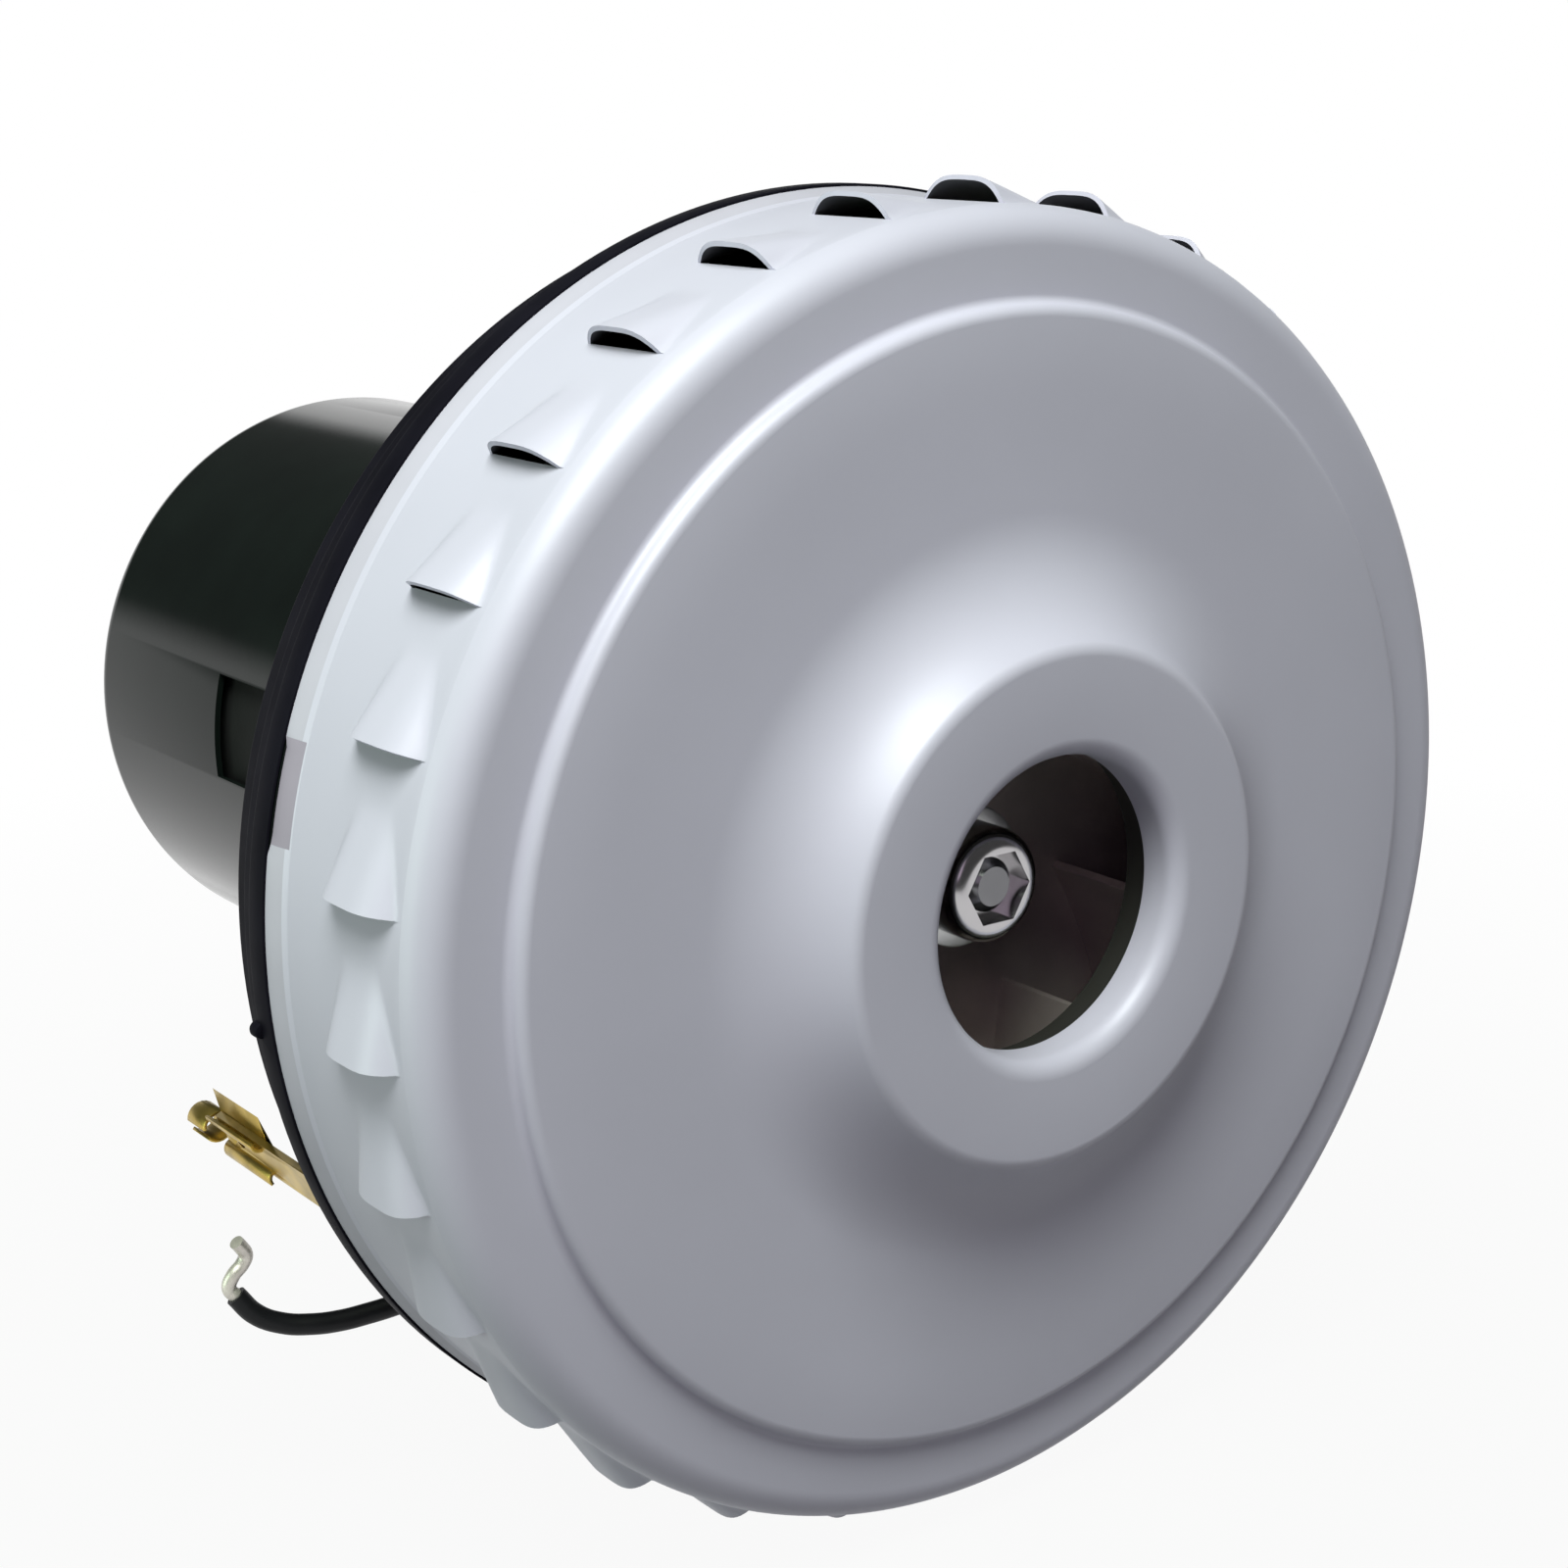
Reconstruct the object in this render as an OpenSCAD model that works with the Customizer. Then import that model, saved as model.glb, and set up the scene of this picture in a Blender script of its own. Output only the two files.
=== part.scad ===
// Vacuum motor unit: one drawn fan casing with louvres, an impeller behind it and a
// brushed motor in a round can. The motor axis lies along Y, the inlet faces -Y and
// the origin is on the axis in the middle of the rim gasket. Sizes in millimetres.
// Inside each module the axis is drawn along Z and lay() turns it to Y.

/* [Fan casing] */
// Outer diameter of the drawn casing wall
casing_d = 144; // [136:1:152]
// Straight length of the casing wall
casing_wall_h = 23.5; // [22:0.5:28]
// Sheet thickness of the casing
casing_t = 0.8; // [0.6:0.1:1.0]
// Radius of the front corner of the casing
corner_r = 5; // [3:0.5:6]
// Diameter of the raised disc on the face
step_d = 124; // [112:1:126]
// Width of the slope round the raised disc
step_run = 2.6; // [2:0.2:4]
// Height of the raised disc over the outer face
step_h = 1.7; // [1:0.1:2.4]
// Diameter where the bell of the nozzle leaves the disc
bell_d = 82; // [72:1:90]
// Diameter of the flat land round the inlet
land_d = 54; // [48:1:58]
// Height of the land over the raised disc
nozzle_h = 7.8; // [6:0.2:9]
// Edge radius of the land
land_edge_r = 1.8; // [1:0.2:2.4]
// Diameter of the inlet
inlet_d = 32.8; // [28:0.4:36]
// Radius of the rolled inlet lip
lip_r = 2.2; // [1.6:0.2:3]
// Depth of the rolled inlet lip
lip_h = 5; // [4:0.5:6]
// Rise of the flared rear edge of the casing
flare_rise = 1; // [0.4:0.1:1.4]
// Length of the flared rear edge of the casing
flare_h = 2.4; // [1.6:0.2:3]

/* [Louvres] */
// Number of louvres round the wall
louvre_count = 30; // [24:1:32]
// Clock angle of the first louvre slit from the top
louvre_start = 10.6; // [0:0.1:12]
// Width of a louvre slit along the axis
louvre_w = 12.6; // [10:0.2:13]
// Length of a louvre hood round the wall
louvre_l = 10; // [7:0.5:10]
// Rise of a louvre hood over the wall
louvre_rise = 2.9; // [1.6:0.1:3]
// Distance from the front corner back to the slit
louvre_inset = -0.6; // [-1:0.1:2]

/* [Crimps] */
// Number of crimps that hold the back plate
crimp_count = 3; // [3:1:6]
// Clock angle of the first crimp
crimp_start = 77; // [60:0.5:110]
// Width of a crimp round the wall
crimp_w = 11.5; // [6:0.5:12]
// Length of a crimp along the axis
crimp_h = 3; // [2.5:0.5:5]
// Depth of the flat that a crimp presses into the flared edge
crimp_depth = 0.35; // [0.2:0.05:0.5]

/* [Rim gasket] */
// Height of the rim gasket over the casing wall
gasket_rise = 1.4; // [1.2:0.1:3]
// Width of the gasket's seat
gasket_w = 6; // [5:0.5:8]
// Rise of each step on the back of the gasket
gasket_step_r = 1.6; // [1:0.2:2]
// Length of each step on the back of the gasket
gasket_step_h = 2.6; // [2:0.2:3.5]
// Depth of the gasket's mouth inside the casing wall
gasket_depth = 4.5; // [3.6:0.1:6]
// Clock angle of the nub on the gasket
nub_clock = 97; // [85:1:115]
// Radius of the nub
nub_r = 1.2; // [0.8:0.1:1.6]

/* [Back plate] */
// Sheet thickness of the back plate
plate_t = 1.2; // [1:0.1:1.6]
// Length of the plate's upstand inside the casing
upstand_h = 9; // [6:0.5:9.5]
// Width of the shelf that the casing seats on
shelf_w = 1.6; // [1.2:0.1:1.8]
// Width of the back plate's flat rim round the pan
plate_rim_w = 11.2; // [9:0.2:14]
// Width of the pan's first step
pan_step_w = 10; // [6:0.5:12]
// Depth of the pan
pan_depth = 7; // [6.4:0.1:7.6]

/* [Motor can] */
// Outer diameter of the motor can
can_d = 79; // [78:0.5:84]
// Length of the motor can
can_l = 108.5; // [107:0.5:114]
// Wall of the motor can
can_t = 0.8; // [0.6:0.1:1]
// Width of the can's front flange
can_flange_w = 4.6; // [4.4:0.1:6]
// Edge radius of the can's closed end
can_edge_r = 4; // [2:0.5:6]
// Number of air windows in the can
window_count = 4; // [2:1:4]
// Clock angle of the first window
window_clock = 85.5; // [80:0.5:94]
// Width of an air window round the can
window_w = 13.6; // [10:0.2:14]
// Length of an air window
window_l = 41; // [30:1:44]
// Distance from the origin to the rear edge of a window
window_end = 77.5; // [70:0.5:80]
// Number of slots in the closed end
grille_count = 18; // [12:1:20]
// Width of a slot in the closed end
grille_w = 3.2; // [2:0.2:3.6]
// Length of a slot in the closed end
grille_l = 15; // [10:1:17]
// Radius of the middle of the slots
grille_r = 24; // [22:0.5:25]

/* [Bearings] */
// Bore of both ball bearings
bearing_bore = 8; // [7.6:0.1:8.4]
// Outer diameter of both ball bearings
bearing_d = 22; // [21.4:0.2:23]
// Width of both ball bearings
bearing_w = 7; // [6.6:0.1:7.4]
// Number of balls in a bearing
ball_count = 7; // [5:1:7]
// Diameter of a ball
ball_d = 3.96; // [3.6:0.02:4.06]

/* [Rotor] */
// Distance from the origin to the armature core
core_start = 20; // [19.5:0.5:22]
// Length of the armature and stator cores
core_l = 38; // [34:1:39]
// Diameter of the armature core
core_d = 42; // [38:0.5:42.2]
// Number of slots in the armature
core_slots = 22; // [16:2:24]
// Diameter of the shaft inside the armature
shaft_d = 10; // [9.4:0.2:11]
// Overhang of the armature winding at each end
winding_h = 8.5; // [7:0.5:9]
// Outer diameter of the commutator
commutator_d = 24; // [22:0.5:26]
// Length of the commutator
commutator_l = 18; // [17:0.5:19]
// Gap between armature winding and commutator
commutator_gap = 3.5; // [2.5:0.5:4]
// Gap between the cooling fan and the can's wall
fan_gap = 5.7; // [4:0.1:8]
// Width of the cooling fan
fan_h = 10; // [8:0.5:10.5]
// Number of blades on the cooling fan
fan_blades = 9; // [7:1:11]

/* [Impeller] */
// Diameter of the impeller
impeller_d = 132; // [124:1:134]
// Sheet thickness of the impeller
impeller_t = 1; // [0.8:0.1:1.2]
// Number of impeller blades
blade_count = 10; // [6:1:12]
// Clock angle of the first blade's leading edge
blade_clock = 221.5; // [200:0.5:260]
// Height of the blades at the rim
blade_h = 10; // [8:0.5:10.5]
// Diameter of the circle on which the blades start
blade_start_d = 48; // [44:0.5:52]
// Angle that a blade sweeps back
blade_sweep = 50; // [36:1:56]
// Radius of the blade curve
blade_curve_r = 60; // [50:1:80]
// Distance from the origin to the back of the impeller
impeller_back = 13.2; // [12.8:0.1:13.6]
// Distance from the impeller's back to the front of its eye collar
eye_h = 23.8; // [23.6:0.1:24.2]
// Rise of the front shroud from its rim to its eye
shroud_rise = 6.4; // [5:0.2:7]
// Running clearance round the inlet lip
eye_gap = 0.5; // [0.3:0.1:0.8]
// Diameter of the impeller hub
hub_d = 13; // [12:0.5:14]
// Length of the hub in front of the back disc
hub_l = 9.3; // [8:0.1:10]
// Diameter of the hub flange
hub_flange_d = 32; // [28:1:34]
// Diameter of the shaft nut
nut_d = 12.8; // [12:0.2:14]
// Height of the shaft nut
nut_h = 5.6; // [5:0.2:6.4]

/* [Stator] */
// Gap between the stator core and the can's wall
stator_gap = 1.2; // [0.8:0.1:1.4]
// Thickness of the stator yoke
yoke_t = 5.5; // [5:0.1:6]
// Air gap between armature and pole
air_gap = 0.6; // [0.4:0.1:0.8]
// Thickness of a pole shoe
shoe_t = 2.4; // [2:0.2:3]
// Half width of a pole body
pole_half_w = 11.8; // [10:0.2:12]
// Width of a coil side
coil_w = 8.4; // [7:0.2:8.6]
// Overhang of a field coil at each end
coil_h = 8; // [6:0.5:8.5]
// Diameter of the long stator screws
bolt_d = 4; // [3:0.5:4]

/* [Brushes] */
// Distance from the origin to the middle of the brushes
brush_pos = 80; // [79:0.5:80.5]
// Width of a brush along the axis
brush_w = 11; // [9:0.5:11]
// Thickness of a brush round the commutator
brush_t = 6.4; // [5:0.2:7]
// Length of a brush spring
spring_l = 8; // [7:0.5:9]
// Inward wear travel left out, outward lift of a brush
brush_travel = 4; // [2:0.5:5]
// Wall of a brush holder
holder_t = 0.8; // [0.6:0.1:1]
// Gap between a brush holder's outer end and the can's wall
holder_gap = 4.7; // [3.7:0.1:5.7]
// Turns of a brush spring
spring_turns = 6; // [4:1:7]
// Diameter of the spring wire
spring_wire = 0.6; // [0.5:0.05:0.7]

/* [Terminal and lead] */
// Clock angle of the earth tab
tab_clock = 117; // [110:1:132]
// Distance of the tab's blade outside the back plate's edge
tab_over = 0.25; // [0.1:0.05:0.4]
// Width of the earth tab
tab_w = 4.8; // [4:0.2:5.2]
// Thickness of the earth tab
tab_t = 0.8; // [0.6:0.1:0.9]
// Distance from the origin to the end of the earth tab
tab_end = 24; // [18:0.5:26]
// Length of the terminal's socket
socket_l = 12; // [10:0.5:14]
// Length of the terminal's crimp barrel
barrel_l = 6; // [5:0.5:8]
// Diameter of the lead's insulation
lead_d = 2.5; // [2.2:0.1:2.7]
// Diameter of the bare tip of the lead
tip_d = 1.7; // [1.2:0.1:2]

/* [Hidden] */

// Smoothness of round parts, and steps of an arc in an outline
$fn = 96;
arc_steps = 8;
// Gap between pieces that are pressed or bolted together
seat_gap = 0.05;
// Clearance of screws and plain fits
slip = 0.15;
// Small overlap that keeps a cut open
bite = 0.1;

// Stations along the axis, counted from the origin to the rear
casing_r = casing_d / 2;
z_rim = -gasket_w / 2;
z_corner = z_rim - casing_wall_h;
z_face = z_corner - corner_r;
z_disc = z_face - step_h;
z_land = z_disc - nozzle_h;
z_pan = pan_depth;
z_can_end = z_pan + can_l;
inlet_r = inlet_d / 2;
can_r = can_d / 2;
can_in_r = can_r - can_t;

// Back plate
plate_r = casing_r - casing_t - seat_gap;
z_shelf = z_rim + plate_t;
z_upstand = z_rim - upstand_h;
z_flange = plate_t;
pan_step_r = plate_r - plate_rim_w;
pan_r = pan_step_r - pan_step_w;
z_pan_step = (z_flange + z_pan) / 2;

// Bearings: the front one sits in the pan's boss, the rear one in the bracket
bearing_r = bearing_d / 2;
boss_r = bearing_r + seat_gap;
ball_pitch_r = (bearing_bore + bearing_d) / 4;
race_gap = 0.07;
cage_t = 1.1;
cage_w = 5.4;
land_gap = 1.55;
z_front_bearing = z_pan - bearing_w;
boss_lip_r = bearing_r - 2.6;

// Rotor
shaft_end_r = bearing_bore / 2;
z_core_end = core_start + core_l;
z_commutator = z_core_end + winding_h + commutator_gap;
core_r = core_d / 2;
commutator_r = commutator_d / 2;
z_commutator_end = z_commutator + commutator_l;
riser_h = 2.4;
riser_r = commutator_r + 1.6;
z_wheel = -impeller_back;
z_hub_front = z_wheel - impeller_t - hub_l;
washer_t = 1.5;
washer_d = 16;
z_washer = z_hub_front - washer_t;
z_nut = z_washer - nut_h;
shroud_in_r = inlet_r + casing_t + eye_gap;
z_shroud_rim = z_wheel - impeller_t - blade_h;
z_shroud_eye = z_shroud_rim - shroud_rise;
z_eye = z_wheel - eye_h;
impeller_r = impeller_d / 2;

// Stator and bracket
stator_r = can_in_r - stator_gap;
yoke_r = stator_r - yoke_t;
pole_r = core_r + air_gap;
bolt_r = bolt_d / 2;
bolt_circle_r = stator_r - yoke_t / 2;
bolt_clock = 45;
coil_gap = 0.3;
coil_in_r = pole_r + shoe_t + coil_gap;
coil_out_r = yoke_r - coil_gap;
liner_t = 1;
ring_in_r = yoke_r + 0.2;
foot_t = 3;
bracket_t = 2;
bracket_wall_in = stator_r - bracket_t;
z_foot = z_core_end + foot_t;
z_bolt_head = z_foot - 0.5;
z_bridge = z_commutator_end + 0.6;
bridge_t = 3;
z_rear_bearing = z_bridge + bridge_t + 0.9;
z_rear_boss = z_rear_bearing + bearing_w;
z_fan = z_rear_boss + 1.4;
z_shaft_end = z_fan + fan_h + 1.5;

// Brushes
brush_gap = 0.15;
brush_in = commutator_r + brush_gap;
holder_slip = 0.15;
holder_in = commutator_r + 1.4;
holder_end = can_in_r - holder_gap;
sleeve_t = 2;
sleeve_in = holder_in + 3;
sleeve_out = holder_end - 3.5;
spring_out_r = brush_t / 2 - 0.4;
spring_mid_r = spring_out_r - spring_wire / 2;
spring_end = holder_end - holder_t;
spring_start = spring_end - spring_l;

// Lead: points from the grommet to the stripped end, x, y and z as the unit stands
lead_route = [[-17.3, 14, -32.6], [-18.7, 13.9, -35.6], [-20.3, 14, -38.6], [-22.1, 14.2, -41.4],
    [-24.2, 14.6, -44], [-26.5, 15.1, -46.3], [-29.1, 15.7, -48.3], [-32, 16.3, -49.9], [-35.1, 17, -51.1],
    [-38.2, 17.6, -52.1], [-41.4, 18.3, -52.8], [-44.7, 18.9, -53.4], [-47.9, 19.5, -54],
    [-51.1, 20.2, -54.4], [-54.4, 20.9, -54.6], [-57.6, 21.7, -54.4], [-60.8, 22.7, -53.7],
    [-63.6, 23.6, -52.1], [-65.5, 24.5, -49.6]];
// The bare tip starts a hair beyond the insulation and leaves it in line
tip_start_gap = 0.1;
lead_end = lead_route[len(lead_route) - 1];
lead_way = (lead_end - lead_route[len(lead_route) - 2]) / norm(lead_end - lead_route[len(lead_route) - 2]);
tip_route = [lead_end + tip_start_gap * lead_way, lead_end + 1.1 * lead_way, [-65.6, 24.7, -47.2],
    [-64.4, 24.6, -46], [-64, 24.5, -45], [-64.6, 24.3, -43.8], [-65.2, 24.2, -43]];
lead_clock = 180 - atan(lead_route[0][0] / lead_route[0][2]);
lead_z = lead_route[0][1];
grommet_r = 2.6;
grommet_flange_r = 3.4;

// Outline helpers
function arc(c, r, a0, a1) =
    [for (i = [0:arc_steps]) let (a = a0 + (a1 - a0) * i / arc_steps) c + r * [cos(a), sin(a)]];
function tail(points) = [for (i = [1:len(points) - 1]) points[i]];
function side(a, b) = let (d = (b - a) / norm(b - a)) [-d[1], d[0]];
function shifted(p, i, t) =
    let (last = len(p) - 1,
        n1 = side(p[max(i - 1, 0)], p[max(i, 1)]),
        n2 = side(p[min(i, last - 1)], p[min(i + 1, last)]))
    p[i] + (n1 + n2) * t / (1 + n1 * n2);
// A closed outline of even thickness: the path, then the path moved t to its left
function sheet(p, t) = concat(p, [for (i = [len(p) - 1:-1:0]) shifted(p, i, t)]);
// Two tangent arcs that climb from [r0, z0] to [r1, z1]; head is the upper radius
function climb(r0, z0, r1, z1, head) =
    let (turn = 2 * atan((z0 - z1) / (r0 - r1)),
        foot = (r0 - r1) / sin(turn) - head)
    concat(arc([r0, z0 - foot], foot, 90, 90 + turn),
        tail(arc([r1, z1 + head], head, turn - 90, -90)));

// Turns a part drawn along Z so that its axis lies along Y
module lay() {
    rotate([-90, 0, 0]) children();
}

// Puts a part's X axis outward at a clock angle, counter-clockwise from the top seen
// from the inlet; its Y axis then points clockwise
module at_clock(angle) {
    rotate([0, 0, -90 - angle]) children();
}

module around(count, start) {
    for (i = [0:count - 1]) at_clock(start + i * 360 / count) children();
}

module tube(r_out, r_in, z0, z1) {
    difference() {
        translate([0, 0, z0]) cylinder(r = r_out, h = z1 - z0);
        translate([0, 0, z0 - bite]) cylinder(r = r_in, h = z1 - z0 + 2 * bite);
    }
}

// A slot with round ends, cut along the part's X axis
module end_slot(length, width, height) {
    for (s = [-1, 1]) translate([s * (length - width) / 2, 0, 0]) cylinder(d = width, h = height, $fn = 24);
    translate([-(length - width) / 2, -width / 2, 0]) cube([length - width, width, height]);
}

// Fan casing: cup wall, rounded corner, raised disc, bell, land and rolled lip. The
// flared edge ends in a straight lip that stands square on the back plate's shelf
flare_lip = 0.6;
step_edge_r = 1.3;
casing_path = concat(
    [[casing_r + flare_rise, z_rim], [casing_r + flare_rise, z_rim - flare_lip],
        [casing_r, z_rim - flare_h]],
    arc([casing_r - corner_r, z_corner], corner_r, 0, -90),
    climb((step_d + step_run) / 2, z_face, (step_d - step_run) / 2, z_disc, step_edge_r),
    climb(bell_d / 2, z_disc, land_d / 2, z_land, land_edge_r),
    arc([inlet_r + lip_r, z_land + lip_r], lip_r, -90, -180),
    [[inlet_r, z_land + lip_h]]);

louvre_z = z_corner + louvre_inset + louvre_w / 2;
hood_r = (pow(louvre_w / 2, 2) + pow(louvre_rise, 2)) / (2 * louvre_rise);
hood_drop = louvre_rise + casing_t + 0.5;

// A cone lying along the wall, whose ridge sinks into the wall clockwise of the slit
module hood(shrink) {
    translate([casing_r + louvre_rise - hood_r, 0, louvre_z])
        rotate([-90, 0, 0])
        cylinder(r1 = hood_r - shrink, r2 = hood_r - hood_drop - shrink, h = louvre_l);
}

module fan_casing() {
    color("gainsboro")
    lay() difference() {
        union() {
            rotate_extrude() polygon(sheet(casing_path, -casing_t));
            around(louvre_count, louvre_start) difference() {
                hood(0);
                at_clock(-90) translate([0, 0, z_face])
                    cylinder(r = casing_r - casing_t / 2, h = casing_wall_h + corner_r);
            }
        }
        around(louvre_count, louvre_start) hood(casing_t);
        around(crimp_count, crimp_start)
            translate([casing_r + flare_rise - crimp_depth, -crimp_w / 2, z_rim - crimp_h])
            cube([flare_rise + 2, crimp_w, crimp_h + bite]);
    }
}

// Earth tab's blade, and the room round it in the gasket's notch
tab_r = plate_r + tab_over;
notch_gap = 1;
notch_depth = 0.4;

// Back plate: upstand and shelf for the casing, two steps down to the pan, and the
// boss that holds the front bearing
plate_path = [[plate_r, z_upstand], [plate_r, z_flange], [pan_step_r + 1, z_flange],
    [pan_step_r, z_flange + 1], [pan_step_r - 0.6, z_pan_step],
    [pan_r + 1, z_pan_step], [pan_r, z_pan - 1], [pan_r - 1, z_pan],
    [boss_r, z_pan], [boss_r, z_front_bearing], [boss_lip_r, z_front_bearing]];

module back_plate() {
    color("dimgray")
    lay() difference() {
        rotate_extrude() union() {
            polygon(sheet(plate_path, plate_t));
            translate([plate_r - plate_t, z_rim]) square([plate_t + shelf_w, plate_t]);
        }
        around(4, bolt_clock) translate([bolt_circle_r, 0, z_pan - plate_t - bite])
            cylinder(r = bolt_r + slip, h = plate_t + 2 * bite, $fn = 32);
        around(4, 0) translate([can_screw_r, 0, z_pan - plate_t - bite])
            cylinder(r = screw_r + slip, h = plate_t + 2 * bite, $fn = 32);
        around(3, 60) translate([retainer_screw_r, 0, z_pan - plate_t - bite])
            cylinder(r = screw_r + slip, h = plate_t + 2 * bite, $fn = 32);
        at_clock(tab_clock) translate([rivet_pos, 0, z_flange - plate_t - bite])
            cylinder(r = rivet_r + slip, h = plate_t + 2 * bite, $fn = 32);
    }
}

// Rim gasket: groove over the plate's shelf, lip on the plate, two steps at the back
gasket_r = casing_r + gasket_rise;
gasket_mouth_r = casing_r - gasket_depth;
gasket_edge = 0.5;
nub_start = 0.6;
nub_h = 2;
gasket_outline = [[gasket_r, z_rim], [gasket_r, -z_rim - gasket_edge], [gasket_r - gasket_edge, -z_rim],
    [gasket_r - gasket_step_r, -z_rim], [gasket_r - gasket_step_r, gasket_step_h - z_rim],
    [gasket_r - 2 * gasket_step_r, gasket_step_h - z_rim],
    [gasket_r - 2 * gasket_step_r, 2 * gasket_step_h - z_rim],
    [gasket_mouth_r, 2 * gasket_step_h - z_rim], [gasket_mouth_r, z_flange + seat_gap],
    [plate_r + seat_gap, z_flange + seat_gap], [plate_r + seat_gap, z_shelf + seat_gap],
    [plate_r + shelf_w + seat_gap, z_shelf + seat_gap], [plate_r + shelf_w + seat_gap, z_rim]];

module rim_gasket() {
    color("black")
    lay() difference() {
        union() {
            rotate_extrude() polygon(gasket_outline);
            at_clock(nub_clock) translate([gasket_r, 0, nub_start]) cylinder(r = nub_r, h = nub_h, $fn = 32);
        }
        // Notch that lets the earth tab out
        at_clock(tab_clock) translate([gasket_mouth_r - 2, -tab_w / 2 - notch_gap, z_flange])
            cube([tab_r + tab_t + notch_depth + 2 - gasket_mouth_r, tab_w + 2 * notch_gap,
                2 * gasket_step_h - z_rim]);
    }
}

// Motor can: flange, plain wall, rounded closed end with a centre dimple
dimple_r = 13;
dimple_h = 1.6;
can_path = concat([[can_r + can_flange_w, z_pan + can_t], [can_r, z_pan + can_t]],
    arc([can_r - can_edge_r, z_can_end - can_edge_r], can_edge_r, 0, 90),
    [[dimple_r, z_can_end], [dimple_r - dimple_h, z_can_end - dimple_h], [0, z_can_end - dimple_h]]);
can_screw_r = can_r + can_flange_w / 2;
screw_r = 1.3;
screw_head_r = 2.2;
screw_head_h = 1.5;

module motor_can() {
    color("black")
    lay() difference() {
        rotate_extrude() polygon(sheet(can_path, can_t));
        around(window_count, window_clock)
            translate([can_r - 4, -window_w / 2, window_end - window_l]) cube([8, window_w, window_l]);
        around(grille_count, 0)
            translate([grille_r, 0, z_can_end - 3]) end_slot(grille_l, grille_w, 6);
        at_clock(lead_clock) translate([can_r - 4, 0, lead_z]) rotate([0, 90, 0])
            cylinder(r = grommet_r + seat_gap, h = 8, $fn = 48);
        around(4, 0) translate([can_screw_r, 0, z_pan - bite])
            cylinder(r = screw_r + slip, h = can_t + 2 * bite, $fn = 32);
    }
}

// A pan-head screw with a cross slot, its head's seat at the origin
module pan_screw(length) {
    difference() {
        union() {
            cylinder(r1 = screw_head_r, r2 = screw_head_r - 0.5, h = screw_head_h, $fn = 32);
            translate([0, 0, -length]) cylinder(r = screw_r, h = length, $fn = 32);
        }
        for (a = [0, 90]) rotate([0, 0, a])
            translate([-1.4, -0.25, screw_head_h - 0.6]) cube([2.8, 0.5, 1]);
    }
}

module can_screws() {
    color("silver")
    lay() around(4, 0) translate([can_screw_r, 0, z_pan + can_t]) pan_screw(4.5);
}

// Ring that holds the front bearing in its boss, with its three screws
retainer_r = 19.5;
retainer_t = 1;
retainer_screw_r = 16.4;

module front_bearing_retainer() {
    color("silver")
    lay() union() {
        difference() {
            tube(retainer_r, boss_lip_r + 1.2, z_pan, z_pan + retainer_t);
            around(3, 0) translate([retainer_screw_r + 3.6, 0, z_pan - bite])
                cylinder(r = 2.6, h = retainer_t + 2 * bite, $fn = 32);
        }
        around(3, 60) translate([retainer_screw_r, 0, z_pan + retainer_t]) pan_screw(3.6);
    }
}

// Ball bearing pieces, drawn from z to z plus the bearing's width
module race_groove(z) {
    translate([0, 0, z + bearing_w / 2])
        rotate_extrude() translate([ball_pitch_r, 0]) circle(r = ball_d / 2 + race_gap, $fn = 48);
}

module bearing_outer(z) {
    difference() {
        tube(bearing_r, ball_pitch_r + land_gap, z, z + bearing_w);
        race_groove(z);
    }
}

module bearing_inner(z) {
    difference() {
        tube(ball_pitch_r - land_gap, shaft_end_r + 0.02, z, z + bearing_w);
        race_groove(z);
    }
}

module bearing_cage(z) {
    difference() {
        rotate([0, 0, 180]) tube(ball_pitch_r + cage_t / 2, ball_pitch_r - cage_t / 2,
            z + (bearing_w - cage_w) / 2, z + (bearing_w + cage_w) / 2);
        around(ball_count, 0) translate([ball_pitch_r - 2, 0, z + bearing_w / 2]) rotate([0, 90, 0])
            cylinder(r = ball_d / 2 + 2 * race_gap, h = 4, $fn = 48);
    }
}

module bearing_balls(z) {
    around(ball_count, 0) translate([ball_pitch_r, 0, z + bearing_w / 2]) sphere(d = ball_d, $fn = 32);
}

module front_bearing_outer() { color("lightsteelblue") lay() bearing_outer(z_front_bearing); }
module front_bearing_inner() { color("lightsteelblue") lay() bearing_inner(z_front_bearing); }
module front_bearing_cage() { color("goldenrod") lay() bearing_cage(z_front_bearing); }
module front_bearing_balls() { color("white") lay() bearing_balls(z_front_bearing); }
module rear_bearing_outer() { color("lightsteelblue") lay() bearing_outer(z_rear_bearing); }
module rear_bearing_inner() { color("lightsteelblue") lay() bearing_inner(z_rear_bearing); }
module rear_bearing_cage() { color("goldenrod") lay() bearing_cage(z_rear_bearing); }
module rear_bearing_balls() { color("white") lay() bearing_balls(z_rear_bearing); }

// Dished spring washer between the bracket and the rear bearing
module bearing_spring_washer() {
    washer_in = boss_lip_r + 0.6;
    z0 = z_bridge + bridge_t;
    color("slategray")
    lay() rotate_extrude() polygon([[washer_in, z0 + 0.02], [washer_in, z0 + 0.42],
        [bearing_r - 0.3, z_rear_bearing - 0.02], [bearing_r - 0.3, z_rear_bearing - 0.42]]);
}

// Ring that seats the stator on the back plate, open between its four posts
seat_window = 70;
seat_rim = 2.5;

module stator_seat_ring() {
    color("silver")
    lay() difference() {
        tube(stator_r, ring_in_r, z_pan, core_start);
        around(4, 0) sector(seat_window, ring_in_r - 1, stator_r + 1, z_pan + seat_rim, core_start - seat_rim);
        bolt_holes(z_pan, core_start);
    }
}

module bolt_holes(z0, z1) {
    around(4, bolt_clock) translate([bolt_circle_r, 0, z0 - bite])
        cylinder(r = bolt_r + slip, h = z1 - z0 + 2 * bite, $fn = 32);
}

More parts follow.
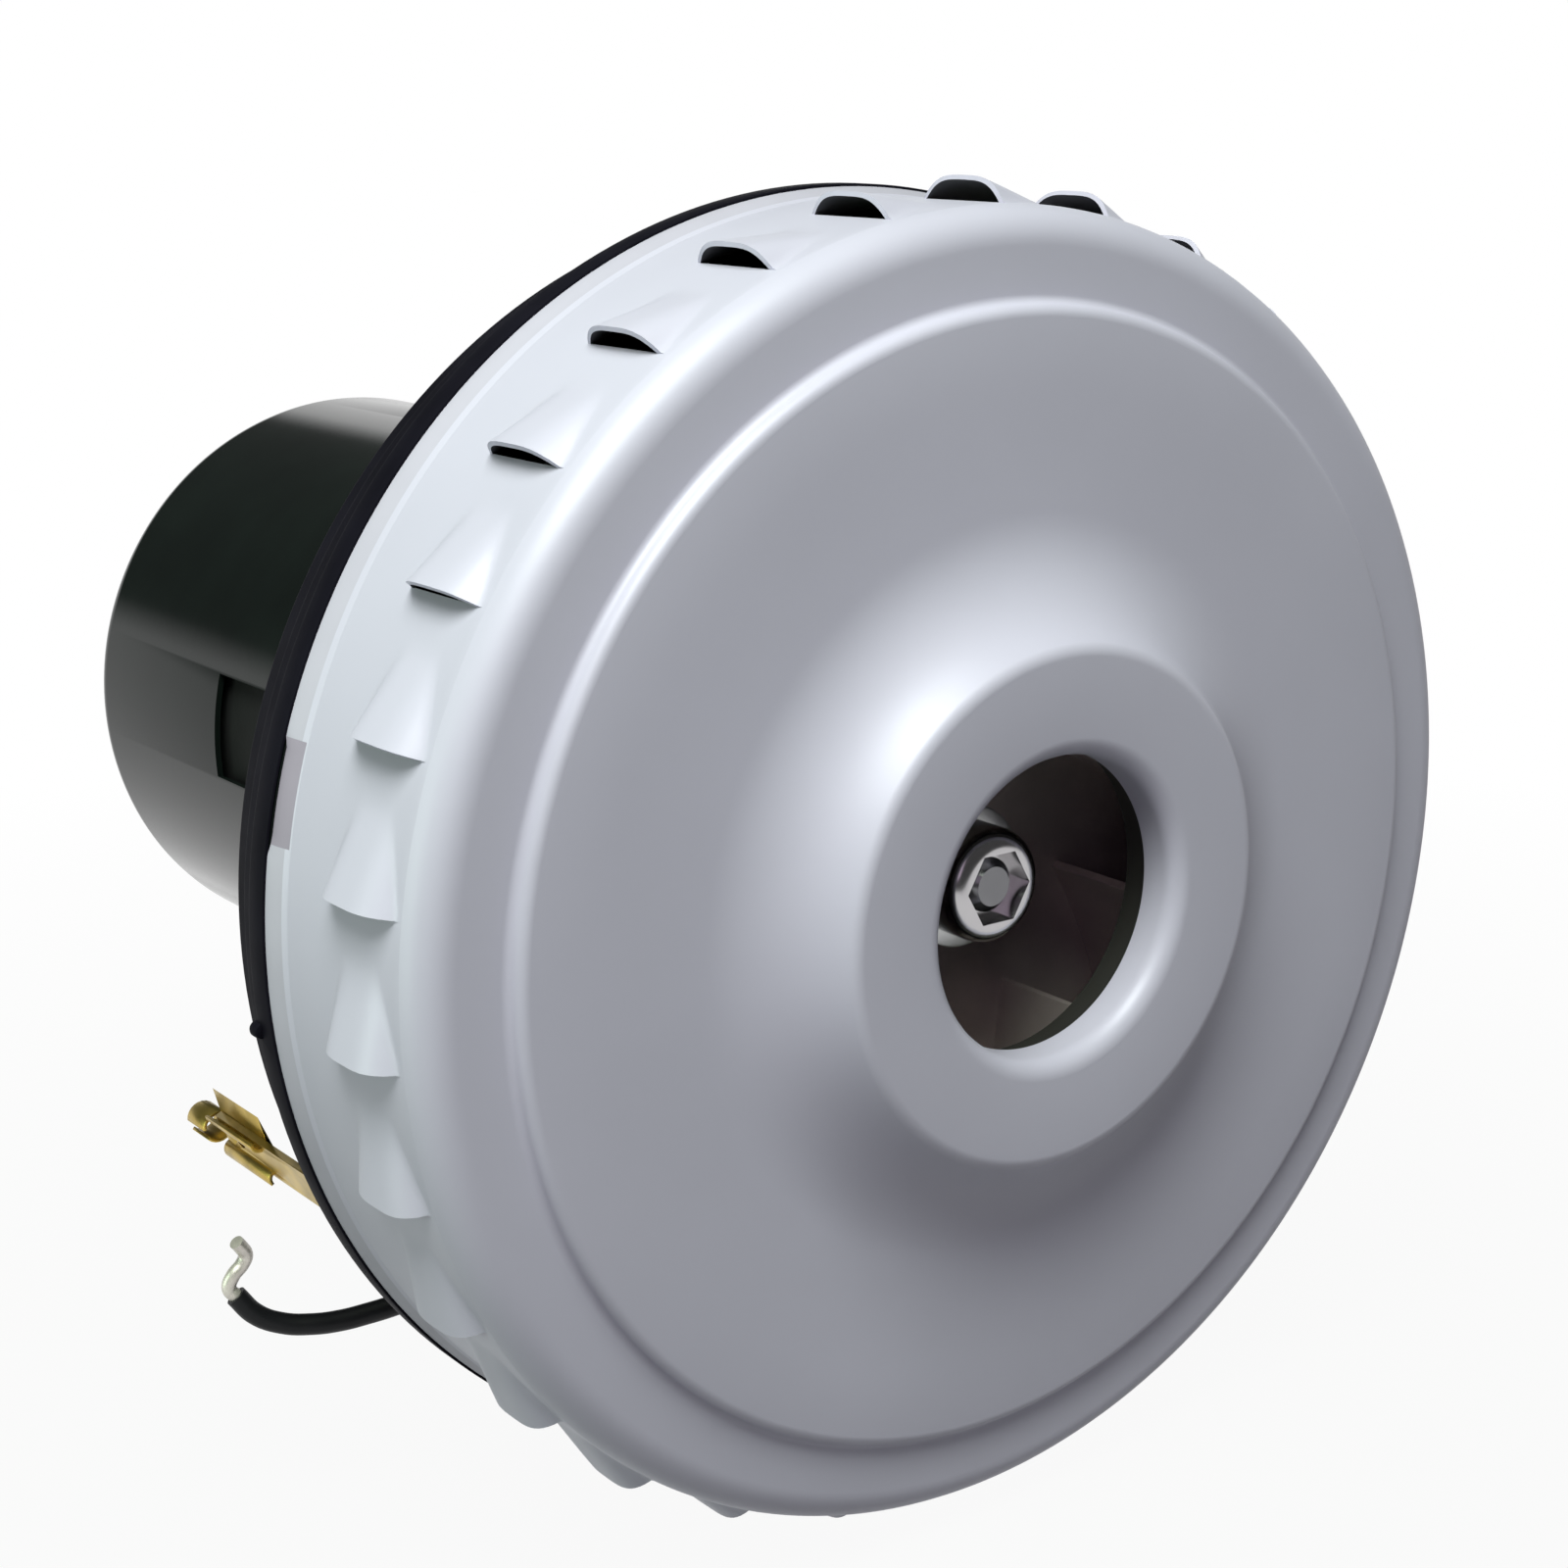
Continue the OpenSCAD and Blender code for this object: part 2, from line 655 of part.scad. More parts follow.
// Stator lamination: round yoke, two poles with shoes round the armature
shoe_half = 56;
module stator_shape() {
    difference() {
        circle(r = stator_r);
        circle(r = yoke_r);
    }
    difference() {
        union() {
            for (s = [-1, 1]) translate([s > 0 ? pole_r + 1 : -yoke_r - 1, -pole_half_w])
                square([yoke_r - pole_r, 2 * pole_half_w]);
            for (s = [0, 180]) rotate(s) intersection() {
                circle(r = pole_r + shoe_t);
                polygon([[0, 0], [core_d, -core_d * tan(shoe_half)], [core_d, core_d * tan(shoe_half)]]);
            }
        }
        circle(r = pole_r);
    }
}

module stator_core() {
    color("gray")
    lay() difference() {
        translate([0, 0, core_start]) linear_extrude(core_l) stator_shape();
        bolt_holes(core_start, z_core_end);
    }
}

// A saddle round one pole: a window-shaped frame bent to the yoke's curve
module saddle(side, r_in, r_out, half_in, half_out, over_in, over_out) {
    reach = yoke_r + 4;
    intersection() {
        tube(r_out, r_in, core_start - over_out, z_core_end + over_out);
        translate([side > 0 ? 0 : -reach, 0, 0]) difference() {
            translate([0, -half_out, core_start - over_out])
                cube([reach, 2 * half_out, core_l + 2 * over_out]);
            translate([-1, -half_in, core_start - over_in])
                cube([reach + 2, 2 * half_in, core_l + 2 * over_in]);
        }
    }
}

module field_coil(side) {
    half = pole_half_w + liner_t + coil_gap;
    color("darkorange")
    lay() saddle(side, coil_in_r, coil_out_r, half, half + coil_w, liner_t + coil_gap, coil_h);
}

module pole_liner(side) {
    color("ivory")
    lay() saddle(side, coil_in_r, coil_out_r, pole_half_w + slip, pole_half_w + liner_t, slip, liner_t);
}

module field_coil_left() { field_coil(-1); }
module field_coil_right() { field_coil(1); }
module pole_liner_left() { pole_liner(-1); }
module pole_liner_right() { pole_liner(1); }

// Rear bracket: foot on the stator, four pillars, bridge and the rear bearing's boss
rear_boss_r = boss_r + bracket_t;
z_bridge_end = z_bridge + bridge_t;
bracket_outline = [[ring_in_r, z_core_end], [stator_r, z_core_end], [stator_r, z_bridge_end],
    [rear_boss_r, z_bridge_end], [rear_boss_r, z_rear_boss], [boss_r, z_rear_boss], [boss_r, z_bridge_end],
    [boss_lip_r, z_bridge_end], [boss_lip_r, z_bridge], [bracket_wall_in, z_bridge], [bracket_wall_in, z_foot],
    [ring_in_r, z_foot]];
// Angles that a side window and a bridge opening span, and the rim left round each opening
side_window = 54;
side_rim = 0.5;
bridge_window = 60;
bridge_rim = 3;

// A block that spans an angle round the axis, between two radii and two heights
module sector(angle, r_in, r_out, z0, z1) {
    rotate([0, 0, -angle / 2]) rotate_extrude(angle = angle)
        translate([r_in, z0]) square([r_out - r_in, z1 - z0]);
}

module rear_bracket() {
    color("darkgray")
    lay() difference() {
        rotate_extrude() polygon(bracket_outline);
        around(4, bolt_clock) {
            sector(side_window, ring_in_r - 1, stator_r + 1, z_bolt_head, z_bridge - side_rim);
            sector(bridge_window, rear_boss_r + bridge_rim, bracket_wall_in - bridge_rim,
                z_bridge - 1, z_bridge_end + 1);
        }
        bolt_holes(z_core_end, z_bolt_head);
    }
}

bolt_head_r = 2.9;
bolt_head_h = 2.6;
bolt_slot = 0.8;
nut_t = 3;
bolt_nut_r = 4;
z_bolt_nut = z_pan - plate_t - nut_t;
z_bolt_end = z_bolt_nut - 1;

module stator_screws() {
    color("silver")
    lay() around(4, bolt_clock) translate([bolt_circle_r, 0, 0]) {
        translate([0, 0, z_bolt_end]) cylinder(r = bolt_r, h = z_bolt_head - z_bolt_end, $fn = 32);
        difference() {
            translate([0, 0, z_bolt_head]) cylinder(r = bolt_head_r, h = bolt_head_h, $fn = 32);
            translate([-bolt_r, -bolt_slot / 2, z_bolt_head + bolt_head_h - bolt_slot])
                cube([2 * bolt_r, bolt_slot, 1]);
        }
    }
}

module stator_nuts() {
    color("silver")
    lay() around(4, bolt_clock) translate([bolt_circle_r, 0, z_bolt_nut]) difference() {
        cylinder(r = bolt_nut_r, h = nut_t, $fn = 6);
        translate([0, 0, -bite]) cylinder(r = bolt_r + seat_gap, h = nut_t + 2 * bite, $fn = 32);
    }
}

// Brush gear: side is 1 for the upper set, -1 for the lower one. It is drawn with the
// brush along Z and its width along Y, so it needs no lay()
module on_side(side) {
    rotate([0, side > 0 ? 0 : 180, 0]) translate([0, brush_pos, 0]) children();
}

module slab(x, y, z0, z1) {
    translate([-x / 2, -y / 2, z0]) cube([x, y, z1 - z0]);
}

module brush(side) {
    color("dimgray")
    on_side(side) difference() {
        slab(brush_t, brush_w, commutator_r - 1, spring_start);
        translate([0, -brush_w, 0]) rotate([-90, 0, 0]) cylinder(r = brush_in, h = 2 * brush_w);
    }
}

// Slot in the holder for the brush's pigtail
pigtail_slot_w = 2;
pigtail_slot_inset = 6;

module brush_holder(side) {
    inner_x = brush_t + 2 * holder_slip;
    inner_y = brush_w + 2 * holder_slip;
    color("goldenrod")
    on_side(side) difference() {
        slab(inner_x + 2 * holder_t, inner_y + 2 * holder_t, holder_in, holder_end);
        slab(inner_x, inner_y, holder_in - 1, holder_end - holder_t);
        slab(pigtail_slot_w, inner_y + 4 * holder_t, holder_in + pigtail_slot_inset,
            holder_end - pigtail_slot_inset);
    }
}

module holder_sleeve(side) {
    inner_x = brush_t + 2 * holder_slip + 2 * holder_t + 0.1;
    inner_y = brush_w + 2 * holder_slip + 2 * holder_t + 0.1;
    front = brush_pos - inner_y / 2 - sleeve_t;
    color("saddlebrown")
    rotate([0, side > 0 ? 0 : 180, 0]) difference() {
        translate([-inner_x / 2 - sleeve_t, front, sleeve_in])
            cube([inner_x + 2 * sleeve_t, z_bridge - front, sleeve_out - sleeve_in]);
        translate([0, brush_pos, 0]) slab(inner_x, inner_y, sleeve_in - 1, sleeve_out + 1);
    }
}

// Helical spring as one tube: rings of spring_sides points, spring_rings per turn
spring_sides = 6;
spring_rings = 8;
function spring_ring(a, z) =
    [for (k = [0:spring_sides - 1])
        let (b = 360 * k / spring_sides, q = spring_mid_r + spring_wire / 2 * cos(b))
        [q * cos(a), q * sin(a), z + spring_wire / 2 * sin(b)]];
spring_count = spring_turns * spring_rings;
spring_low = spring_start + spring_wire / 2 + 0.1;
spring_high = spring_end - spring_wire / 2 - 0.1;
function spring_z(i) = spring_low + (spring_high - spring_low) * i / spring_count;
function spring_mid(i) =
    let (a = 360 * i / spring_rings) [spring_mid_r * cos(a), spring_mid_r * sin(a), spring_z(i)];
spring_points = [for (i = [0:spring_count]) each spring_ring(360 * i / spring_rings, spring_z(i))];
function tube_faces(rings, sides) = concat(
    [[for (k = [0:sides - 1]) k]],
    [for (i = [0:rings - 2]) for (k = [0:sides - 1]) let (a = i * sides + k, b = i * sides + (k + 1) % sides)
        each [[a, a + sides, b], [b, a + sides, b + sides]]],
    [[for (k = [sides - 1:-1:0]) (rings - 1) * sides + k]]);
// Least gap of the spring to itself, between points half a turn or more apart
spring_gaps = [for (i = [0:spring_count], j = [i + spring_rings / 2:spring_count])
    norm(spring_mid(j) - spring_mid(i)) - spring_wire];
echo(spring_least_gap = min(spring_gaps));

module brush_spring(side) {
    color("silver")
    on_side(side)
        polyhedron(points = spring_points, faces = tube_faces(spring_count + 1, spring_sides));
}

module brush_upper() { brush(1); }
module brush_lower() { brush(-1); }
module brush_holder_upper() { brush_holder(1); }
module brush_holder_lower() { brush_holder(-1); }
module holder_sleeve_upper() { holder_sleeve(1); }
module holder_sleeve_lower() { holder_sleeve(-1); }
module brush_spring_upper() { brush_spring(1); }
module brush_spring_lower() { brush_spring(-1); }

// Earth tab riveted to the back plate, its blade standing in the gasket's notch
rivet_pos = pan_step_r + 4;
rivet_r = 1.5;
tab_foot = pan_step_r + 1.2;
tab_hole_r = 0.8;
tab_hole_inset = 4;

module earth_tab() {
    color("goldenrod")
    lay() at_clock(tab_clock) difference() {
        union() {
            translate([tab_foot, -tab_w / 2, z_flange]) cube([tab_r + tab_t - tab_foot, tab_w, tab_t]);
            translate([tab_r, -tab_w / 2, z_flange]) cube([tab_t, tab_w, tab_end - z_flange]);
        }
        translate([rivet_pos, 0, z_flange - bite]) cylinder(r = rivet_r + slip, h = tab_t + 2 * bite, $fn = 32);
        translate([tab_r - 1, 0, tab_end - tab_hole_inset]) rotate([0, 90, 0])
            cylinder(r = tab_hole_r, h = 3, $fn = 24);
    }
}

module tab_rivet() {
    color("silver")
    lay() at_clock(tab_clock) translate([rivet_pos, 0, 0]) {
        cylinder(r = rivet_r, h = z_flange + tab_t, $fn = 32);
        translate([0, 0, z_flange + tab_t]) cylinder(r1 = 2.5, r2 = 1.7, h = 0.9, $fn = 32);
        translate([0, 0, -0.6]) cylinder(r = 2.2, h = 0.6, $fn = 32);
    }
}

// Push-on terminal: rolled socket over the tab, neck and open crimp barrel
socket_start = tab_end + 1 - socket_l;
z_socket_end = tab_end + 1;
roll_r = 1.15;
roll_pos = 0.35;
socket_t = 0.4;
neck_w = 2.6;
neck_l = 2.6;
neck_t = 0.8;
barrel_r = 1.9;
barrel_in_r = 1.4;
barrel_pos = 0.3;
barrel_slit = 0.8;
z_barrel = z_socket_end + neck_l;

module brass_terminal() {
    half = tab_w / 2 + 0.1;
    color("gold")
    lay() at_clock(tab_clock) translate([tab_r + tab_t / 2, 0, 0]) union() {
        difference() {
            union() {
                translate([-tab_t / 2 - 0.1 - socket_t, -half, socket_start])
                    cube([tab_t + 0.2 + 2 * socket_t, 2 * half, socket_l]);
                for (s = [-1, 1]) translate([roll_pos, s * half, socket_start])
                    cylinder(r = roll_r, h = socket_l, $fn = 32);
            }
            translate([-tab_t / 2 - 0.1, -half, socket_start - bite])
                cube([tab_t + 0.2, 2 * half, socket_l - 0.6]);
            translate([tab_t / 2, -0.5, socket_start - bite]) cube([2, 1, socket_l + 2 * bite]);
        }
        translate([-tab_t / 2 - 0.1 - neck_t, -neck_w / 2, z_socket_end - bite])
            cube([neck_t, neck_w, neck_l + bite + 0.4]);
        translate([barrel_pos, 0, z_barrel]) difference() {
            cylinder(r = barrel_r, h = barrel_l, $fn = 32);
            translate([0, 0, -bite]) cylinder(r = barrel_in_r, h = barrel_l + 2 * bite, $fn = 32);
            translate([0, -barrel_slit / 2, -bite]) cube([barrel_r + 1, barrel_slit, barrel_l + 2 * bite]);
        }
    }
}

// Rubber grommet in the can's wall
grommet_flange_t = 1.2;
grommet_start = can_in_r - grommet_flange_t - 0.4;
module lead_grommet() {
    color("black")
    lay() at_clock(lead_clock) translate([0, 0, lead_z]) rotate([0, 90, 0]) difference() {
        union() {
            translate([0, 0, grommet_start]) cylinder(r = grommet_flange_r, h = grommet_flange_t, $fn = 48);
            translate([0, 0, grommet_start]) cylinder(r = grommet_r, h = can_t + 3, $fn = 48);
            translate([0, 0, can_r + seat_gap])
                cylinder(r1 = grommet_flange_r, r2 = grommet_r, h = 3, $fn = 48);
        }
        translate([0, 0, grommet_start - 1]) cylinder(r = lead_d / 2 + 0.1, h = can_t + 8, $fn = 48);
    }
}

// A tube swept along a route, with a ring of points at each route point
function unit(v) = v / norm(v);
function heading(p, i) = unit(p[min(i + 1, len(p) - 1)] - p[max(i - 1, 0)]);
function ring_at(p, i, r, n) =
    let (d = heading(p, i), u = unit(cross(d, [0, 1, 0])), v = cross(d, u))
    [for (k = [0:n - 1]) p[i] + r * (cos(360 * k / n) * u + sin(360 * k / n) * v)];
module swept(p, r, n) {
    polyhedron(points = [for (i = [0:len(p) - 1]) each ring_at(p, i, r, n)], faces = tube_faces(len(p), n));
}
lead_sides = 8;

module lead_wire() {
    color("black") swept(lead_route, lead_d / 2, lead_sides);
}

module lead_tip() {
    color("silver") swept(tip_route, tip_d / 2, lead_sides);
}

// Shaft with its two bearing seats, the fan seat and the threaded front end
thread_r = 3;
z_shaft_front = z_nut + 0.9;
shaft_outline = [[0, z_shaft_front], [thread_r - 0.8, z_shaft_front], [thread_r, z_shaft_front + 0.8],
    [thread_r, z_washer], [shaft_end_r, z_washer], [shaft_end_r, z_pan + 1.5], [shaft_d / 2, z_pan + 1.5],
    [shaft_d / 2, z_bridge - 0.5], [shaft_end_r, z_bridge - 0.5], [shaft_end_r, z_shaft_end - 0.6],
    [shaft_end_r - 0.6, z_shaft_end], [0, z_shaft_end]];

module shaft() {
    color("silver")
    lay() rotate_extrude() polygon(shaft_outline);
}

module shaft_spacer() {
    color("lightgray")
    lay() tube(hub_d / 2, shaft_end_r + 0.02, z_wheel + 2, z_front_bearing);
}

// Hub: flange behind the wheel and the tube through it
module impeller_hub() {
    color("lightgray")
    lay() union() {
        tube(hub_flange_d / 2, shaft_end_r + 0.02, z_wheel, z_wheel + 2);
        tube(hub_d / 2, shaft_end_r + 0.02, z_hub_front, z_wheel + bite);
    }
}

module impeller_back_disc() {
    color("gainsboro")
    lay() tube(impeller_r, hub_d / 2 + seat_gap, z_wheel - impeller_t, z_wheel);
}

// Front shroud: flat cone up to the eye, and the collar round the inlet lip
shroud_path = [[impeller_r, z_shroud_rim], [shroud_in_r + impeller_t + 3, z_shroud_eye],
    [shroud_in_r + impeller_t, z_shroud_eye - 2], [shroud_in_r + impeller_t, z_eye]];

module impeller_front_shroud() {
    color("gainsboro")
    lay() rotate_extrude() polygon(sheet(shroud_path, -impeller_t));
}

// Blades: arcs swept back against the rotation, cut to the shroud's cone
blade_start = [blade_start_d / 2, 0];
blade_tip = (impeller_r - 0.5) * [cos(blade_sweep), sin(blade_sweep)];
blade_chord = blade_tip - blade_start;
blade_normal = [-blade_chord[1], blade_chord[0]] / norm(blade_chord);
blade_centre = (blade_start + blade_tip) / 2
    + blade_normal * sqrt(pow(blade_curve_r, 2) - pow(norm(blade_chord) / 2, 2));

module blade_shape() {
    intersection() {
        translate(blade_centre) difference() {
            circle(r = blade_curve_r + impeller_t / 2);
            circle(r = blade_curve_r - impeller_t / 2);
        }
        difference() {
            circle(r = norm(blade_tip));
            circle(r = blade_start_d / 2);
        }
        polygon([[0, 0], [impeller_r, -impeller_r / 4], [impeller_r, impeller_d], [0, impeller_d]]);
    }
}

z_blade_rim = z_shroud_rim + impeller_t + seat_gap;
z_blade_eye = z_shroud_eye + impeller_t + seat_gap;
blade_room = [[0, z_wheel - impeller_t], [impeller_r, z_wheel - impeller_t], [impeller_r, z_blade_rim],
    [shroud_in_r + impeller_t + 3, z_blade_eye], [0, z_blade_eye]];

module impeller_blades() {
    color("silver")
    lay() around(blade_count, blade_clock) intersection() {
        translate([0, 0, z_eye]) linear_extrude(eye_h) blade_shape();
        rotate([0, 0, 180]) rotate_extrude() polygon(blade_room);
    }
}

module nut_washer() {
    color("silver")
    lay() tube(washer_d / 2, shaft_end_r + seat_gap, z_washer, z_hub_front);
}

// Shaft nut: round with a hexagon recess round the shaft's end
nut_edge = 1;
module shaft_nut() {
    r = nut_d / 2;
    color("white")
    lay() difference() {
        rotate_extrude() polygon([[0, z_washer], [r, z_washer], [r, z_nut + nut_edge], [r - 0.3, z_nut + 0.3],
            [r - nut_edge, z_nut], [0, z_nut]]);
        translate([0, 0, z_nut - bite]) cylinder(r = thread_r + seat_gap, h = nut_h + 2 * bite, $fn = 48);
        translate([0, 0, z_nut - bite]) cylinder(r = 4.4, h = 2 + bite, $fn = 6);
    }
}

// Armature: slotted core, winding in the slots with its end turns
slot_r = 1.7;
slot_pitch_r = core_r - 4.4;
slot_mouth = 1.4;

module armature_core() {
    color("gray")
    lay() translate([0, 0, core_start]) linear_extrude(core_l) difference() {
        circle(r = core_r);
        circle(r = shaft_d / 2 + seat_gap);
        for (k = [0:core_slots - 1]) rotate(360 * k / core_slots) {
            translate([slot_pitch_r, 0]) circle(r = slot_r, $fn = 24);
            translate([slot_pitch_r, -slot_mouth / 2]) square([core_r, slot_mouth]);
        }
    }
}

winding_top_r = core_r - 2;
module end_turns(z, way) {
    h = winding_h - 0.3;
    translate([0, 0, z]) scale([1, 1, way]) rotate_extrude() polygon([[shaft_d / 2 + 0.3, 0],
        [winding_top_r, 0], [winding_top_r, h * 0.45], [winding_top_r - 1.6, h * 0.8], [winding_top_r - 4.4, h],
        [shaft_d / 2 + 3, h], [shaft_d / 2 + 0.3, h * 0.8]]);
}

module armature_winding() {
    color("orangered")
    lay() union() {
        end_turns(core_start - 0.2, -1);
        end_turns(z_core_end + 0.2, 1);
        for (k = [0:core_slots - 1]) rotate([0, 0, 360 * k / core_slots])
            translate([slot_pitch_r, 0, core_start - 1]) cylinder(r = slot_r - 0.2, h = core_l + 2, $fn = 24);
    }
}

module commutator_hub() {
    color("saddlebrown")
    lay() tube(commutator_r - 3.05, shaft_d / 2 + seat_gap, z_commutator, z_commutator_end);
}

module commutator() {
    color("orange")
    lay() difference() {
        union() {
            tube(commutator_r, commutator_r - 3, z_commutator, z_commutator_end);
            tube(riser_r, commutator_r - 1, z_commutator, z_commutator + riser_h);
        }
        for (k = [0:core_slots - 1]) rotate([0, 0, 360 * k / core_slots])
            translate([commutator_r - 1, -0.25, z_commutator - bite]) cube([4, 0.5, commutator_l + 2 * bite]);
    }
}

// Cooling fan: disc, hub and curved blades on its bearing side
fan_disc_t = 1.4;
fan_hub_r = 7;
fan_r = can_in_r - fan_gap;
fan_blade_t = 1.4;
fan_blade_start = 13.6;
fan_curve_r = 25;
fan_curve_pos = [10, -24];
module cooling_fan() {
    color("darkslategray")
    lay() union() {
        tube(fan_r, shaft_end_r + 0.02, z_fan + fan_h - fan_disc_t, z_fan + fan_h);
        tube(fan_hub_r, shaft_end_r + 0.02, z_fan, z_fan + fan_h);
        translate([0, 0, z_fan + 0.6]) linear_extrude(fan_h - 0.6 - fan_disc_t + bite)
            for (k = [0:fan_blades - 1]) rotate(360 * k / fan_blades) intersection() {
                translate(fan_curve_pos) difference() {
                    circle(r = fan_curve_r + fan_blade_t);
                    circle(r = fan_curve_r);
                }
                difference() {
                    circle(r = fan_r - 0.5);
                    circle(r = fan_blade_start);
                }
                square([fan_r, fan_r]);
            }
    }
}

fan_casing();
back_plate();
rim_gasket();
motor_can();
can_screws();
front_bearing_retainer();
front_bearing_outer();
rear_bearing_outer();
bearing_spring_washer();
stator_seat_ring();
stator_core();
pole_liner_left();
pole_liner_right();
field_coil_left();
field_coil_right();
rear_bracket();
stator_screws();
stator_nuts();
brush_holder_upper();
brush_holder_lower();
holder_sleeve_upper();
holder_sleeve_lower();
brush_spring_upper();
brush_spring_lower();
earth_tab();
tab_rivet();
brass_terminal();
lead_grommet();
lead_wire();
lead_tip();
shaft();
shaft_spacer();
impeller_hub();
impeller_back_disc();
impeller_blades();
impeller_front_shroud();
nut_washer();
shaft_nut();
front_bearing_inner();
rear_bearing_inner();
armature_core();
armature_winding();
commutator_hub();
commutator();
cooling_fan();
front_bearing_cage();
front_bearing_balls();
rear_bearing_cage();
rear_bearing_balls();
brush_upper();
brush_lower();
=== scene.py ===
"""Vacuum motor unit: louvred fan casing, impeller, motor can, terminal and lead.

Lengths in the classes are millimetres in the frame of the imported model: the motor axis
lies along Y, the inlet faces -Y and +Z is up. Clock angles run counter-clockwise from
the top, seen from the inlet.
"""

import logging
import math
from contextlib import contextmanager
from dataclasses import dataclass
from enum import Enum
from functools import cache
from typing import Callable, Iterator, Sequence

import bpy
from mathutils import Matrix, Vector


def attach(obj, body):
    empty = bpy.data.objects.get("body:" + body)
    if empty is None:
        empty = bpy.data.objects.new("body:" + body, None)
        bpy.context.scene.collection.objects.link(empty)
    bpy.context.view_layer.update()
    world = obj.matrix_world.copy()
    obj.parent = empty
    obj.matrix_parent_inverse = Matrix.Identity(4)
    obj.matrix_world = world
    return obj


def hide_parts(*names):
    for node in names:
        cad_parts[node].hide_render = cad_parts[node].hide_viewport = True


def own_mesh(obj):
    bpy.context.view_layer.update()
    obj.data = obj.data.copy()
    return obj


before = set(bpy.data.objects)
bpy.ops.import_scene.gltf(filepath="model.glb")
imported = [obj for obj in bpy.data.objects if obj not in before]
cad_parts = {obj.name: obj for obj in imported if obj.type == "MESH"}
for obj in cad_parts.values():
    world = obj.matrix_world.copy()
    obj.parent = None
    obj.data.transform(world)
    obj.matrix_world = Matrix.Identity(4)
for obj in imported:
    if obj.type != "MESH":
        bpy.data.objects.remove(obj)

LOG = logging.getLogger("motor_unit")
MM = 0.001
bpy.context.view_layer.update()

Flat = tuple[float, float]
Spot = tuple[float, float, float]
Colour = tuple[float, float, float]
Piece = bpy.types.Object
Node = bpy.types.Node
Tree = bpy.types.NodeTree
Source = tuple[Node, str]
Link = tuple[Node, str, Node, str | int]


# ---------- nodes


def set_inputs(node: Node, **values: object) -> None:
    """Set inputs of a shader node; an underscore in a name stands for a space."""
    for key, value in values.items():
        node.inputs[key.replace("_", " ")].default_value = value


def add_node(tree: Tree, kind: str, operation: str = "", **values: object) -> Node:
    """Add a shader node.

    Args:
        tree: The node tree.
        kind: Type of the node, without its first word.
        operation: Operation of a math node.
        **values: Its input values.

    Returns:
        The node.
    """
    node = tree.nodes.new(f"ShaderNode{kind}")
    if operation:
        node.operation = operation
    set_inputs(node, **values)
    return node


def wire(tree: Tree, *links: Link) -> None:
    """Link nodes; a link is a node, its output, another node and its input."""
    for source, output, target, entry in links:
        tree.links.new(source.outputs[output], target.inputs[entry])


# ---------- finishes


class Pattern(Enum):
    """How the fine relief of a finish runs over a piece."""

    CLOUDY = "cloudy"
    TURNED = "turned"
    STACKED = "stacked"
    WOUND = "wound"


COAT_ROUGHNESS = 0.12
MOTTLE_RAMP = (0.3, 0.7)
ROUGHNESS_PATCH = 0.6  # size of the roughness patches, as a share of the colour's
ROUGHNESS_SPREAD = (0.86, 1.16)
WAVE_UNIT = 20  # a wave texture of scale 1 turns 20 radians in a metre
WAVE_DISTORTION = 0.6
BUMP_STRENGTH = 0.5


